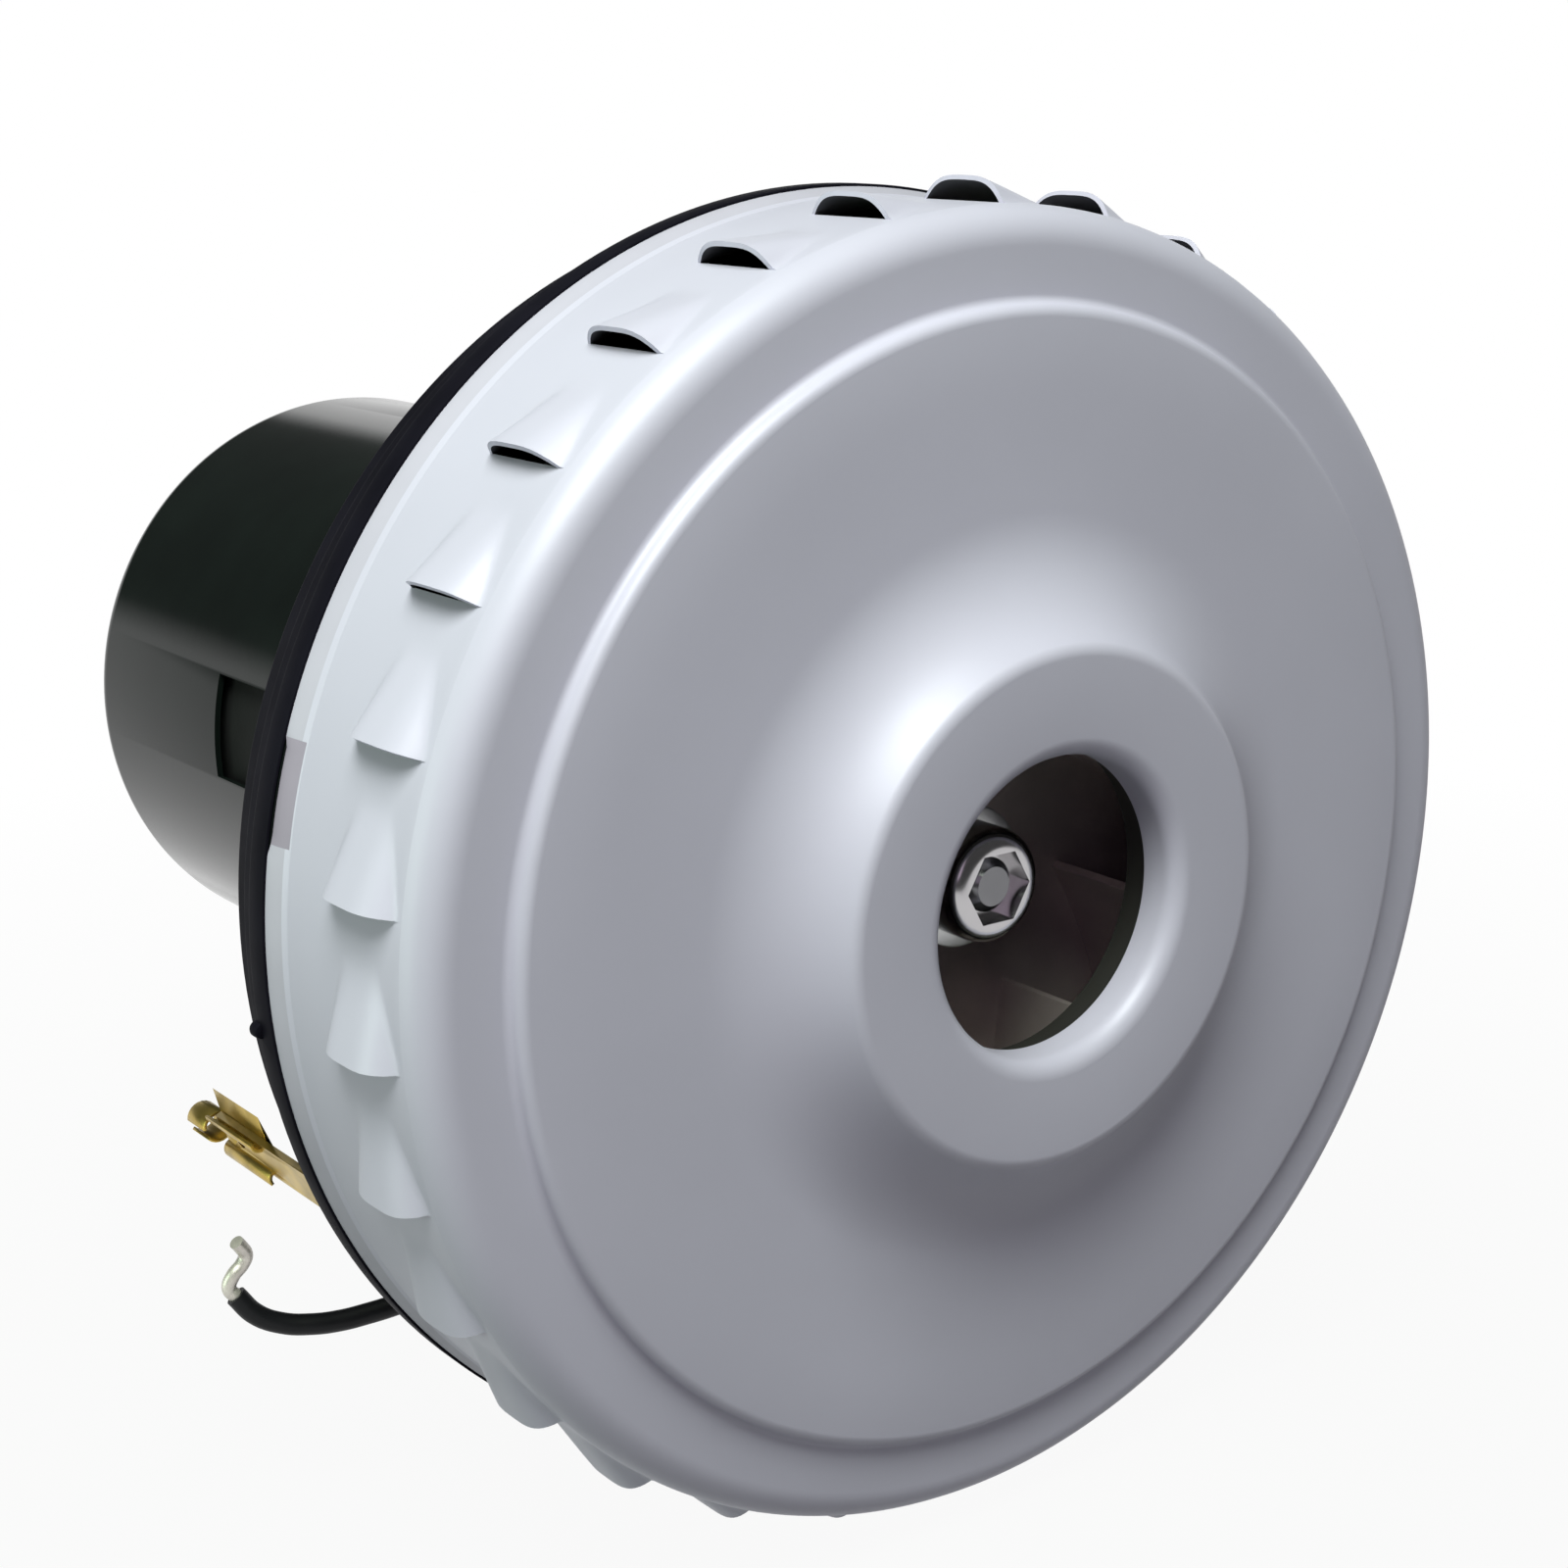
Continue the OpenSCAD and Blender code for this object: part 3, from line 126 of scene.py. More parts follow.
@dataclass(frozen=True)
class Finish:
    """A surface finish, built as one node material on Object coordinates."""

    name: str
    colour: Colour
    metallic: float
    roughness: float
    mottle: float = 0.06
    patch_mm: float = 9.0
    grain_mm: float = 0.5
    relief_mm: float = 0.01
    shine: float = 0.5
    pattern: Pattern = Pattern.CLOUDY
    coat: float = 0.0

    def build(self) -> bpy.types.Material:
        """Make the material.

        Returns:
            The node material, ready for a piece's slot.
        """
        material = bpy.data.materials.new(self.name)
        material.use_nodes = True
        tree = material.node_tree
        shader = tree.nodes["Principled BSDF"]
        set_inputs(shader, Metallic=self.metallic, Coat_Weight=self.coat,
                   Coat_Roughness=COAT_ROUGHNESS, Specular_IOR_Level=self.shine)
        self._patches(tree, shader)
        self._relief(tree, shader)
        return material

    def _noise(self, tree: Tree, size_mm: float, detail: float) -> Node:
        """Add a noise.

        Args:
            tree: The material's nodes.
            size_mm: Size of one cloud or grain.
            detail: Octaves of the noise.

        Returns:
            The noise node.
        """
        noise = add_node(tree, "TexNoise", Scale=1.0 / (size_mm * MM), Detail=detail)
        wire(tree, (add_node(tree, "TexCoord"), "Object", noise, "Vector"))
        return noise

    def _patches(self, tree: Tree, shader: Node) -> None:
        """Vary the colour and the roughness a little in soft patches, as handled metal and rubber do.

        Args:
            tree: The material's nodes.
            shader: The surface shader.
        """
        noise = self._noise(tree, self.patch_mm, 3.0)
        ramp = add_node(tree, "ValToRGB")
        low, high = ramp.color_ramp.elements
        low.position, high.position = MOTTLE_RAMP
        low.color = (*[c * (1 - self.mottle) for c in self.colour], 1)
        high.color = (*[min(1.0, c * (1 + self.mottle)) for c in self.colour], 1)
        wire(tree, (noise, "Fac", ramp, "Fac"), (ramp, "Color", shader, "Base Color"))
        noise = self._noise(tree, self.patch_mm * ROUGHNESS_PATCH, 4.0)
        smoothest, roughest = (self.roughness * share for share in ROUGHNESS_SPREAD)
        span = add_node(tree, "MapRange", To_Min=smoothest, To_Max=min(1.0, roughest))
        wire(tree, (noise, "Fac", span, "Value"), (span, "Result", shader, "Roughness"))

    def _relief(self, tree: Tree, shader: Node) -> None:
        """Add the fine relief: grain, turning marks, sheet edges or wires.

        Args:
            tree: The material's nodes.
            shader: The surface shader.
        """
        if self.pattern is Pattern.CLOUDY:
            source = self._noise(tree, self.grain_mm, 3.0)
        else:
            source = add_node(tree, "TexWave", Scale=1.0 / (self.grain_mm * MM) / WAVE_UNIT,
                              Distortion=WAVE_DISTORTION, Detail=2.0)
            if self.pattern is Pattern.TURNED:
                source.wave_type = "RINGS"
                source.rings_direction = "Y"
            else:
                source.bands_direction = "Y" if self.pattern is Pattern.STACKED else "DIAGONAL"
            wire(tree, (add_node(tree, "TexCoord"), "Object", source, "Vector"))
        bump = add_node(tree, "Bump", Strength=BUMP_STRENGTH, Distance=self.relief_mm * MM)
        wire(tree, (source, "Fac", bump, "Height"), (bump, "Normal", shader, "Normal"))


FINISHES: dict[str, Finish] = {key: Finish(*row) for key, *row in (
    ("casing_sheet", "satin_casing_sheet", (0.44, 0.415, 0.525), 0.08, 0.46, 0.02, 26, 0.7, 0.006, 0.2),
    ("pressed_sheet", "pressed_casing_sheet", (0.25, 0.215, 0.28), 0.0, 0.5, 0.05, 8, 0.6, 0.01, 0.2),
    # painted shade: the casing's inside is the same sheet, coloured near-black for the shade that falls inside
    # it
    ("inner_sheet", "shaded_inner_sheet", (0.06, 0.06, 0.066), 0.0, 0.6, 0.05, 8, 0.6, 0.006, 0.1),
    # painted shade: a darker copy of the casing sheet for the flared edge next to the rubber ring
    ("rim_sheet", "flared_rim_sheet", (0.37, 0.345, 0.43), 0.05, 0.5, 0.03, 8, 0.6, 0.006, 0.2),
    ("black_paint", "gloss_black_paint", (0.004, 0.006, 0.0055), 0.0, 0.09, 0.2, 14, 1.2, 0.003, 0.12),
    ("black_rubber", "moulded_black_rubber", (0.0055, 0.005, 0.0085), 0.0, 0.5, 0.2, 8, 0.5, 0.02, 0.02),
    ("black_insulation", "satin_black_insulation", (0.008, 0.008, 0.010), 0.0, 0.45, 0.15, 5, 0.6,
     0.015, 0.2),
    ("plated_steel", "zinc_plated_steel", (0.60, 0.60, 0.58), 0.9, 0.32, 0.06, 4, 0.4, 0.01),
    ("bearing_steel", "ground_bearing_steel", (0.62, 0.62, 0.64), 1.0, 0.16, 0.03, 3, 0.3, 0.002, 0.5,
     Pattern.TURNED),
    ("cage_steel", "pressed_cage_steel", (0.42, 0.42, 0.43), 0.9, 0.4, 0.06, 3, 0.3, 0.01),
    ("spring_steel", "drawn_spring_wire", (0.30, 0.30, 0.32), 0.9, 0.35, 0.08, 3, 0.3, 0.006),
    ("nut_chrome", "bright_turned_nut", (0.5, 0.49, 0.5), 1.0, 0.19, 0.03, 4, 0.25, 0.004, 0.5,
     Pattern.TURNED),
    ("shaft_steel", "ground_shaft_steel", (0.20, 0.20, 0.21), 1.0, 0.25, 0.05, 4, 0.3, 0.004, 0.5,
     Pattern.STACKED),
    # painted shade: a near-black copy of the wheel sheet, for the shade inside the inlet eye
    ("shroud_sheet", "shaded_shroud_sheet", (0.03, 0.028, 0.027), 0.4, 0.55, 0.1, 12, 0.5, 0.008),
    # painted shade: the nylon pole liners are coloured near-black for the shade inside the can's windows
    ("liner_nylon", "dark_liner_nylon", (0.035, 0.036, 0.034), 0.0, 0.5, 0.1, 6, 0.5, 0.015, 0.2),
    ("wheel_sheet", "rolled_wheel_sheet", (0.6, 0.52, 0.51), 0.5, 0.42, 0.1, 12, 0.5, 0.008),
    ("turned_aluminium", "turned_aluminium", (0.40, 0.39, 0.38), 0.9, 0.3, 0.05, 6, 0.3, 0.008, 0.5,
     Pattern.TURNED),
    ("lamination", "varnished_laminations", (0.02, 0.02, 0.023), 0.1, 0.7, 0.15, 6, 0.5, 0.06, 0.02,
     Pattern.STACKED),
    ("dark_casting", "blackened_casting", (0.014, 0.014, 0.015), 0.1, 0.6, 0.08, 6, 0.7, 0.05, 0.04),
    ("enamelled_copper", "varnished_copper_wire", (0.42, 0.12, 0.035), 0.6, 0.3, 0.12, 3, 0.55, 0.16,
     0.5, Pattern.WOUND, 0.5),
    ("copper", "turned_copper_bars", (0.60, 0.27, 0.14), 1.0, 0.3, 0.08, 4, 0.3, 0.01, 0.5, Pattern.STACKED),
    ("brass_sheet", "stamped_brass", (0.50, 0.36, 0.09), 0.95, 0.3, 0.22, 3, 0.4, 0.012),
    ("tinned_copper", "tinned_strands", (0.62, 0.58, 0.54), 0.7, 0.42, 0.12, 1.5, 0.45, 0.08, 0.5,
     Pattern.WOUND),
    ("phenolic", "brown_phenolic", (0.10, 0.04, 0.02), 0.0, 0.38, 0.2, 4, 0.4, 0.015),
    ("fan_nylon", "dark_fan_nylon", (0.03, 0.03, 0.034), 0.0, 0.38, 0.15, 6, 0.6, 0.02),
    ("carbon", "pressed_carbon", (0.03, 0.03, 0.032), 0.2, 0.5, 0.25, 1.2, 0.25, 0.03),
)}


@cache
def paint(name: str) -> bpy.types.Material:
    """Build a finish once and hand it out."""
    return FINISHES[name].build()


# ---------- bench work


def pick(piece: Piece) -> None:
    """Select one piece alone and make it active.

    Args:
        piece: The piece to work on.
    """
    for other in bpy.context.selected_objects:
        other.select_set(False)
    bpy.context.view_layer.objects.active = piece
    piece.select_set(True)


@contextmanager
def editing(piece: Piece) -> Iterator[None]:
    """Open a piece in edit mode with everything selected, and close it after the block.

    Args:
        piece: The piece.

    Yields:
        Nothing.
    """
    pick(piece)
    bpy.ops.object.mode_set(mode="EDIT")
    bpy.ops.mesh.select_all(action="SELECT")
    yield
    bpy.ops.object.mode_set(mode="OBJECT")


def enter(name: str, data: bpy.types.ID) -> Piece:
    """Put a mesh, curve, camera or lamp into the scene.

    Args:
        name: Name of the object.
        data: Its data.

    Returns:
        The object.
    """
    item = bpy.data.objects.new(name, data)
    bpy.context.collection.objects.link(item)
    return item


def add(operator: Callable[..., set], **settings: object) -> Piece:
    """Add a primitive, with its place and size in its mesh.

    Args:
        operator: Operator that adds the primitive.
        **settings: Its settings.

    Returns:
        The piece.
    """
    operator(**settings)
    piece = bpy.context.active_object
    pick(piece)
    bpy.ops.object.transform_apply(location=True, rotation=True, scale=True)
    return piece


def shift(piece: Piece, x: float = 0.0, z: float = 0.0) -> Piece:
    """Move a piece's mesh along X and Z, and hand the piece back."""
    piece.data.transform(Matrix.Translation((x * MM, 0, z * MM)))
    return piece


def turn(piece: Piece, angle: float, axis: str) -> Piece:
    """Turn a piece's mesh by degrees about X, Y or Z through the origin, and hand the piece back."""
    piece.data.transform(Matrix.Rotation(math.radians(angle), 4, axis))
    return piece


def arc(centre: Flat, radius: float, start_deg: float, end_deg: float, steps: int = 8) -> list[Flat]:
    """Points on an arc between two angles in degrees, both ends included."""
    angles = [math.radians(start_deg + (end_deg - start_deg) * i / steps) for i in range(steps + 1)]
    return [(centre[0] + radius * math.cos(a), centre[1] + radius * math.sin(a)) for a in angles]


def climb(low: Flat, high: Flat, head: float, steps: int = 10) -> list[Flat]:
    """Two tangent arcs that climb from one flat to the next.

    Args:
        low: Radius and Y where the climb starts.
        high: Radius and Y where it ends.
        head: Radius of the arc at the upper end.
        steps: Steps on each arc.

    Returns:
        The points of the climb.
    """
    (r0, y0), (r1, y1) = low, high
    bend = 2 * math.degrees(math.atan((y0 - y1) / (r0 - r1)))
    foot = (r0 - r1) / math.sin(math.radians(bend)) - head
    return (arc((r0, y0 - foot), foot, 90, 90 + bend, steps)
            + arc((r1, y1 + head), head, bend - 90, -90, steps)[1:])


def rounded(corners: Sequence[Flat], radius: float, steps: int = 2) -> list[Flat]:
    """Round every corner of a closed outline.

    Args:
        corners: The corners in order.
        radius: Cut-back of each corner along its sides, less on sides that are too short for it.
        steps: Steps on each rounding.

    Returns:
        The rounded outline.
    """
    points: list[Flat] = []
    for i, here in enumerate(corners):
        before, after = Vector(corners[i - 1]), Vector(corners[(i + 1) % len(corners)])
        spot = Vector(here)
        back = min(radius, (before - spot).length * 0.45, (after - spot).length * 0.45)
        a = spot + (before - spot).normalized() * back
        b = spot + (after - spot).normalized() * back
        for k in range(steps + 1):
            t = k / steps
            p = a * (1 - t) ** 2 + spot * 2 * t * (1 - t) + b * t ** 2
            points.append((p.x, p.y))
    return points


def trace(path: Sequence[Flat], closed: bool = False) -> Piece:
    """Draw an outline by extruding one vertex from point to point in the XY plane.

    Args:
        path: The points.
        closed: True joins the last point to the first.

    Returns:
        The outline as an object of edges.
    """
    piece = add(bpy.ops.mesh.primitive_plane_add, size=MM,
                location=(path[0][0] * MM, path[0][1] * MM, 0))
    with editing(piece):
        bpy.ops.mesh.select_mode(type="VERT")
        bpy.ops.mesh.merge(type="CENTER")
        for (x0, y0), (x1, y1) in zip(path, path[1:]):
            bpy.ops.mesh.extrude_region_move(
                TRANSFORM_OT_translate={"value": ((x1 - x0) * MM, (y1 - y0) * MM, 0)})
    if closed:
        for vertex in piece.data.vertices:
            vertex.select = vertex.index in (0, len(path) - 1)
        bpy.ops.object.mode_set(mode="EDIT")
        bpy.ops.mesh.edge_face_add()
        bpy.ops.object.mode_set(mode="OBJECT")
    return piece


def weld(piece: Piece, gap_mm: float = 0.002, recalculate: bool = True) -> None:
    """Merge doubles and turn all faces outwards.

    Args:
        piece: The piece.
        gap_mm: Largest gap that is closed.
        recalculate: False keeps the faces' directions.
    """
    with editing(piece):
        bpy.ops.mesh.remove_doubles(threshold=gap_mm * MM)
        if recalculate:
            bpy.ops.mesh.normals_make_consistent(inside=False)


def revolve(path: Sequence[Flat], steps: int, closed: bool = True) -> Piece:
    """Spin an outline about the motor axis.

    Args:
        path: Outline as radius and Y.
        steps: Facets round the axis.
        closed: True for a closed outline.

    Returns:
        The spun piece.
    """
    piece = trace(path, closed)
    with editing(piece):
        bpy.ops.mesh.spin(steps=steps, angle=2 * math.pi, center=(0, 0, 0), axis=(0, 1, 0))
    weld(piece)
    return piece


def extrude(path: Sequence[Flat], length: float, axis_from: float, sheet: float = 0.0) -> Piece:
    """Extrude an outline along Z, to a solid or to a bent strip of sheet.

    Args:
        path: Closed outline of the solid, or middle line of the strip, in the XY plane.
        length: Length along Z.
        axis_from: Z of the first end.
        sheet: Thickness of the strip, or 0 for a solid.

    Returns:
        The closed piece.
    """
    piece = trace(path, closed=not sheet)
    with editing(piece):
        if not sheet:
            bpy.ops.mesh.edge_face_add()
        bpy.ops.mesh.extrude_region_move(TRANSFORM_OT_translate={"value": (0, 0, length * MM)})
    shift(piece, z=axis_from)
    weld(piece)
    if sheet:
        wall(piece, sheet, 0.0)
    return piece


def block(low: Spot, high: Spot) -> Piece:
    """Add a box between two corners, as a start or as a cutter."""
    return add(bpy.ops.mesh.primitive_cube_add, size=1,
               location=[(a + b) / 2 * MM for a, b in zip(low, high)],
               scale=[(b - a) * MM for a, b in zip(low, high)])


def drum(radius: float, z0: float, z1: float, sides: int, centre: Flat = (0.0, 0.0)) -> Piece:
    """Add a closed cylinder along Z, from z0 to z1, with its axis through a centre."""
    return add(bpy.ops.mesh.primitive_cylinder_add, vertices=sides, radius=radius * MM,
               depth=(z1 - z0) * MM,
               location=(centre[0] * MM, centre[1] * MM, (z0 + z1) / 2 * MM))


def grid(columns: int, rows: int, place: Callable[[float, float], Vector]) -> Piece:
    """Add a grid and bend it to a formed sheet.

    Args:
        columns: Faces along the first side.
        rows: Faces along the second side.
        place: Gives the place in millimetres of a point from its two shares, 0 to 1.

    Returns:
        The formed sheet, without thickness.
    """
    piece = add(bpy.ops.mesh.primitive_grid_add, x_subdivisions=columns, y_subdivisions=rows, size=1)
    for vertex in piece.data.vertices:
        vertex.co = place(vertex.co.x + 0.5, vertex.co.y + 0.5) * MM
    return piece


def use(piece: Piece, kind: str, **settings: object) -> None:
    """Add a modifier and apply it at once.

    Args:
        piece: The piece.
        kind: Modifier type.
        **settings: Its settings.
    """
    pick(piece)
    modifier = piece.modifiers.new(kind.lower(), kind)
    for key, value in settings.items():
        setattr(modifier, key, value)
    bpy.ops.object.modifier_apply(modifier=modifier.name)


def wall(piece: Piece, thickness: float, offset: float, material_offset: int = 0) -> None:
    """Give a sheet its thickness; offset -1 puts it inside, 0 on both sides, 1 outside."""
    use(piece, "SOLIDIFY", thickness=thickness * MM, offset=offset, use_even_offset=True,
        material_offset=material_offset)


def ease_edges(piece: Piece, width: float, segments: int = 2, angle: float = 40.0) -> None:
    """Round the edges that are sharper than an angle in degrees."""
    use(piece, "BEVEL", width=width * MM, segments=segments, limit_method="ANGLE",
        angle_limit=math.radians(angle))


def cut(piece: Piece, tool: Piece, operation: str = "DIFFERENCE") -> None:
    """Cut a piece with a tool, or join them, and throw the tool away."""
    use(piece, "BOOLEAN", operation=operation, object=tool, solver="EXACT")
    bpy.data.objects.remove(tool)


def join(pieces: Sequence[Piece]) -> Piece:
    """Join pieces into the first one.

    Args:
        pieces: The pieces.

    Returns:
        The joined piece.
    """
    pick(pieces[0])
    for piece in pieces[1:]:
        piece.select_set(True)
    bpy.ops.object.join()
    return pieces[0]


def at_clock(piece: Piece, clock: float) -> Piece:
    """Turn a piece drawn with X outward, Y clockwise and Z to the rear to a clock angle.

    Args:
        piece: The piece.
        clock: The clock angle in degrees.

    Returns:
        The same piece.
    """
    a = math.radians(clock)
    axes = Matrix(((-math.sin(a), math.cos(a), 0), (0, 0, 1), (math.cos(a), math.sin(a), 0)))
    piece.data.transform(axes.to_4x4())
    return piece


def around(piece: Piece, count: int, first: float = 0.0) -> Piece:
    """Copy a piece, drawn as for at_clock, to an even ring of clock angles, as one object.

    Args:
        piece: The piece.
        count: How many copies.
        first: The first clock angle.

    Returns:
        The joined copies.
    """
    copies = [at_clock(enter("copy", piece.data.copy()), first + 360 * k / count) for k in range(count)]
    bpy.data.objects.remove(piece)
    return join(copies)


def fit(piece: Piece, body: str, slot: str, node: str, finish: str = "", angle: float = 32.0) -> Piece:
    """Name and shade a finished piece and give it its material, its body and its CAD node.

    Args:
        piece: The finished piece.
        body: Body that it rides on.
        slot: Material slot of the record.
        node: CAD node that it replaces.
        finish: Finish, where it isn't the slot's own.
        angle: Edges sharper than this many degrees stay sharp.

    Returns:
        The piece.
    """
    piece.name = piece.data.name = f"{node}_piece"
    if piece.type == "MESH":
        pick(piece)
        bpy.ops.object.shade_smooth_by_angle(angle=math.radians(angle))
    if not piece.data.materials:
        piece.data.materials.append(paint(finish or slot))
    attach(piece, body)
    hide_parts(node)
    LOG.info("%s: %d faces on %s", piece.name, len(getattr(piece.data, "polygons", [])), body)
    return piece


def from_node(name: str) -> Piece:
    """Make a piece from a merged copy of a CAD node's solid.

    Args:
        name: Name of the node.

    Returns:
        The piece, without a material.
    """
    piece = enter(name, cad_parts[name].data.copy())
    piece.data.materials.clear()
    weld(piece, 0.001, recalculate=False)
    return piece


# ---------- stage


@dataclass(frozen=True)
class PhotoCamera:
    """The camera that took the photograph, found from the circles of the casing."""

    lens: float = 61.5
    sensor: float = 36.0
    azimuth: float = -37.4
    elevation: float = 14.8
    unit: float = 72.0
    aim: Spot = (0.2869, 0.1446, 4.0446)
    centre_y: float = -26.5
    clip_start_m: float = 0.01

    def build(self) -> None:
        """Place the camera."""
        a, e = math.radians(self.azimuth), math.radians(self.elevation)
        right = Vector((math.cos(a), math.sin(a), 0))
        ahead = Vector((-math.sin(a) * math.cos(e), math.cos(a) * math.cos(e), -math.sin(e)))
        up = right.cross(ahead)
        away = right * self.aim[0] - up * self.aim[1] + ahead * self.aim[2]
        data = bpy.data.cameras.new("photo_camera")
        data.lens = self.lens
        data.sensor_width = self.sensor
        data.clip_start = self.clip_start_m
        camera = enter("photo_camera", data)
        place = Vector((0, self.centre_y * MM, 0)) - away * self.unit * MM
        axes = Matrix((right, up, -ahead)).transposed().to_4x4()
        camera.matrix_world = Matrix.Translation(place) @ axes
        bpy.context.scene.camera = camera


@dataclass(frozen=True)
class Studio:
    """Pale floor, soft lamps and a white world; the sizes and places of these are metres."""

    floor_z_mm: float = -75.2
    floor_size: float = 0.8
    floor_colour: Colour = (0.14, 0.145, 0.14)
    floor_roughness: float = 0.8
    fade: Flat = (0.1, 0.36)
    paleness: float = 0.94
    soft_colour: Colour = (0.92, 0.96, 1.0)
    soft_strength: float = 0.05
    ceiling: float = 0.08
    horizon: Flat = (-0.16, -0.08)
    slant: Spot = (-0.3, -0.3, 1.0)
    lamp_size: float = 0.4
    lamps: tuple[tuple[str, Spot, float, Colour], ...] = (
        ("key", (-0.28, -0.25, 0.62), 9.9, (0.9, 1.0, 0.86)),
        ("side", (-0.8, 0.2, 0.0), 2.7, (0.76, 1.0, 0.76)),
        ("front", (-0.5, -0.5, 0.3), 0.32, (0.98, 0.8, 1.0)))

    def build(self) -> None:
        """Make the floor, the lamps and the world."""
        self._floor()
        self._lamps()
        self._world()
        bpy.context.scene.view_settings.view_transform = "Standard"

    def _floor(self) -> None:
        """Lay the pale floor, which fades to white away from the object."""
        floor = add(bpy.ops.mesh.primitive_plane_add, size=self.floor_size, location=(0, 0, 0))
        floor.name = "floor"
        shift(floor, z=self.floor_z_mm)
        material = bpy.data.materials.new("pale_floor")
        material.use_nodes = True
        tree = material.node_tree
        shader = tree.nodes["Principled BSDF"]
        set_inputs(shader, Base_Color=(*self.floor_colour, 1), Roughness=self.floor_roughness)
        white = add_node(tree, "Emission")
        place = add_node(tree, "TexCoord")
        reach = add_node(tree, "VectorMath", "LENGTH")
        fade = add_node(tree, "MapRange", From_Min=self.fade[0], From_Max=self.fade[1],
                        To_Min=self.paleness, To_Max=1.0)
        share = add_node(tree, "Math", "MULTIPLY")
        wire(tree, (place, "Object", reach, 0), (reach, "Value", fade, "Value"),
             (fade, "Result", share, 0), (*self._eye(tree), share, 1))
        self._mix(tree, (share, "Value"), (shader, "BSDF"), (white, "Emission"), "Material Output")
        floor.data.materials.append(material)

    def _eye(self, tree: Tree) -> Source:
        """Add the test for rays of the camera, of gloss and through glass.

        Args:
            tree: The node tree that gets the test.

        Returns:
            A node and its output, which is 1 for such a ray and 0 for any other.
        """
        path = add_node(tree, "LightPath")
        source: Source = (path, "Is Camera Ray")
        for other in ("Is Glossy Ray", "Is Transmission Ray"):
            both = add_node(tree, "Math", "MAXIMUM")
            wire(tree, (*source, both, 0), (path, other, both, 1))
            source = (both, "Value")
        return source

    def _mix(self, tree: Tree, share: Source, plain: Source, white: Source, output: str) -> None:
        """Mix two shaders into the output.

        Args:
            tree: The node tree.
            share: Gives the share of the white shader.
            plain: The shader that lights the object.
            white: The shader that the camera sees.
            output: Name of the output node.
        """
        mix = add_node(tree, "MixShader")
        wire(tree, (*share, mix, "Fac"), (*plain, mix, 1), (*white, mix, 2),
             (mix, "Shader", tree.nodes[output], "Surface"))

    def _lamps(self) -> None:
        """Hang the soft lamps, which face the object."""
        for name, place, power, colour in self.lamps:
            data = bpy.data.lights.new(name, "AREA")
            data.size = self.lamp_size
            data.energy = power
            data.color = colour
            lamp = enter(name, data)
            lamp.location = place
            lamp.rotation_mode = "QUATERNION"
            lamp.rotation_quaternion = (-Vector(place)).to_track_quat("-Z", "Y")

    def _world(self) -> None:
        """Make a world that lights softly, looks white to the camera and gives gloss a pale horizon."""
        world = bpy.data.worlds.new("studio")
        bpy.context.scene.world = world
        world.use_nodes = True
        tree = world.node_tree
        soft = tree.nodes["Background"]
        set_inputs(soft, Color=(*self.soft_colour, 1), Strength=self.soft_strength)
        white = add_node(tree, "Background", Color=(1, 1, 1, 1))
        way = add_node(tree, "TexCoord")
        height = add_node(tree, "VectorMath", "DOT_PRODUCT")
        height.inputs[1].default_value = self.slant
        fade = add_node(tree, "MapRange", From_Min=self.horizon[0], From_Max=self.horizon[1],
                        To_Min=1.0, To_Max=self.ceiling)
        path = add_node(tree, "LightPath")
        level = add_node(tree, "Math", "MAXIMUM")
        wire(tree, (way, "Generated", height, 0), (height, "Value", fade, "Value"),
             (fade, "Result", level, 0), (path, "Is Camera Ray", level, 1),
             (level, "Value", white, "Strength"))
        self._mix(tree, self._eye(tree), (soft, "Background"), (white, "Background"), "World Output")


# ---------- lead


@dataclass(frozen=True)
class Lead:
    """The short black lead with its bare tinned tip."""

    diameter: float = 2.5
    tip_diameter: float = 1.7
    route: tuple[Spot, ...] = (
        (-17.3, 14, -32.6), (-18.7, 13.9, -35.6), (-20.3, 14, -38.6), (-22.1, 14.2, -41.4),
        (-24.2, 14.6, -44), (-26.5, 15.1, -46.3), (-29.1, 15.7, -48.3), (-32, 16.3, -49.9),
        (-35.1, 17, -51.1), (-38.2, 17.6, -52.1), (-41.4, 18.3, -52.8), (-44.7, 18.9, -53.4),
        (-47.9, 19.5, -54), (-51.1, 20.2, -54.4), (-54.4, 20.9, -54.6), (-57.6, 21.7, -54.4),
        (-60.8, 22.7, -53.7), (-63.6, 23.6, -52.1), (-65.5, 24.5, -49.6))
    tip_route: tuple[Spot, ...] = (
        (-65.5, 24.5, -49.6), (-66.1, 24.8, -48.7), (-65.6, 24.7, -47.2), (-64.4, 24.6, -46),
        (-64, 24.5, -45), (-64.6, 24.3, -43.8), (-65.2, 24.2, -43))

    def build(self) -> None:
        """Make the lead and its tip."""
        lead = self._tube(self.route, self.diameter)
        tip = self._tube(self.tip_route, self.tip_diameter)
        fit(lead, "housing", "black_insulation", "lead_wire")
        fit(tip, "housing", "tinned_copper", "lead_tip")

    def _tube(self, route: Sequence[Spot], diameter: float) -> Piece:
        """Draw a round wire along a route.

        Args:
            route: Its points.
            diameter: Its diameter.

        Returns:
            The curve.
        """
        data = bpy.data.curves.new("tube", "CURVE")
        data.dimensions = "3D"
        data.bevel_depth = diameter / 2 * MM
        data.bevel_resolution = 6
        data.resolution_u = 8
        data.use_fill_caps = True
        spline = data.splines.new("BEZIER")
        spline.bezier_points.add(len(route) - 1)
        for point, place in zip(spline.bezier_points, route):
            point.co = [v * MM for v in place]
            point.handle_left_type = point.handle_right_type = "AUTO"
        return enter("tube", data)


# ---------- fan casing


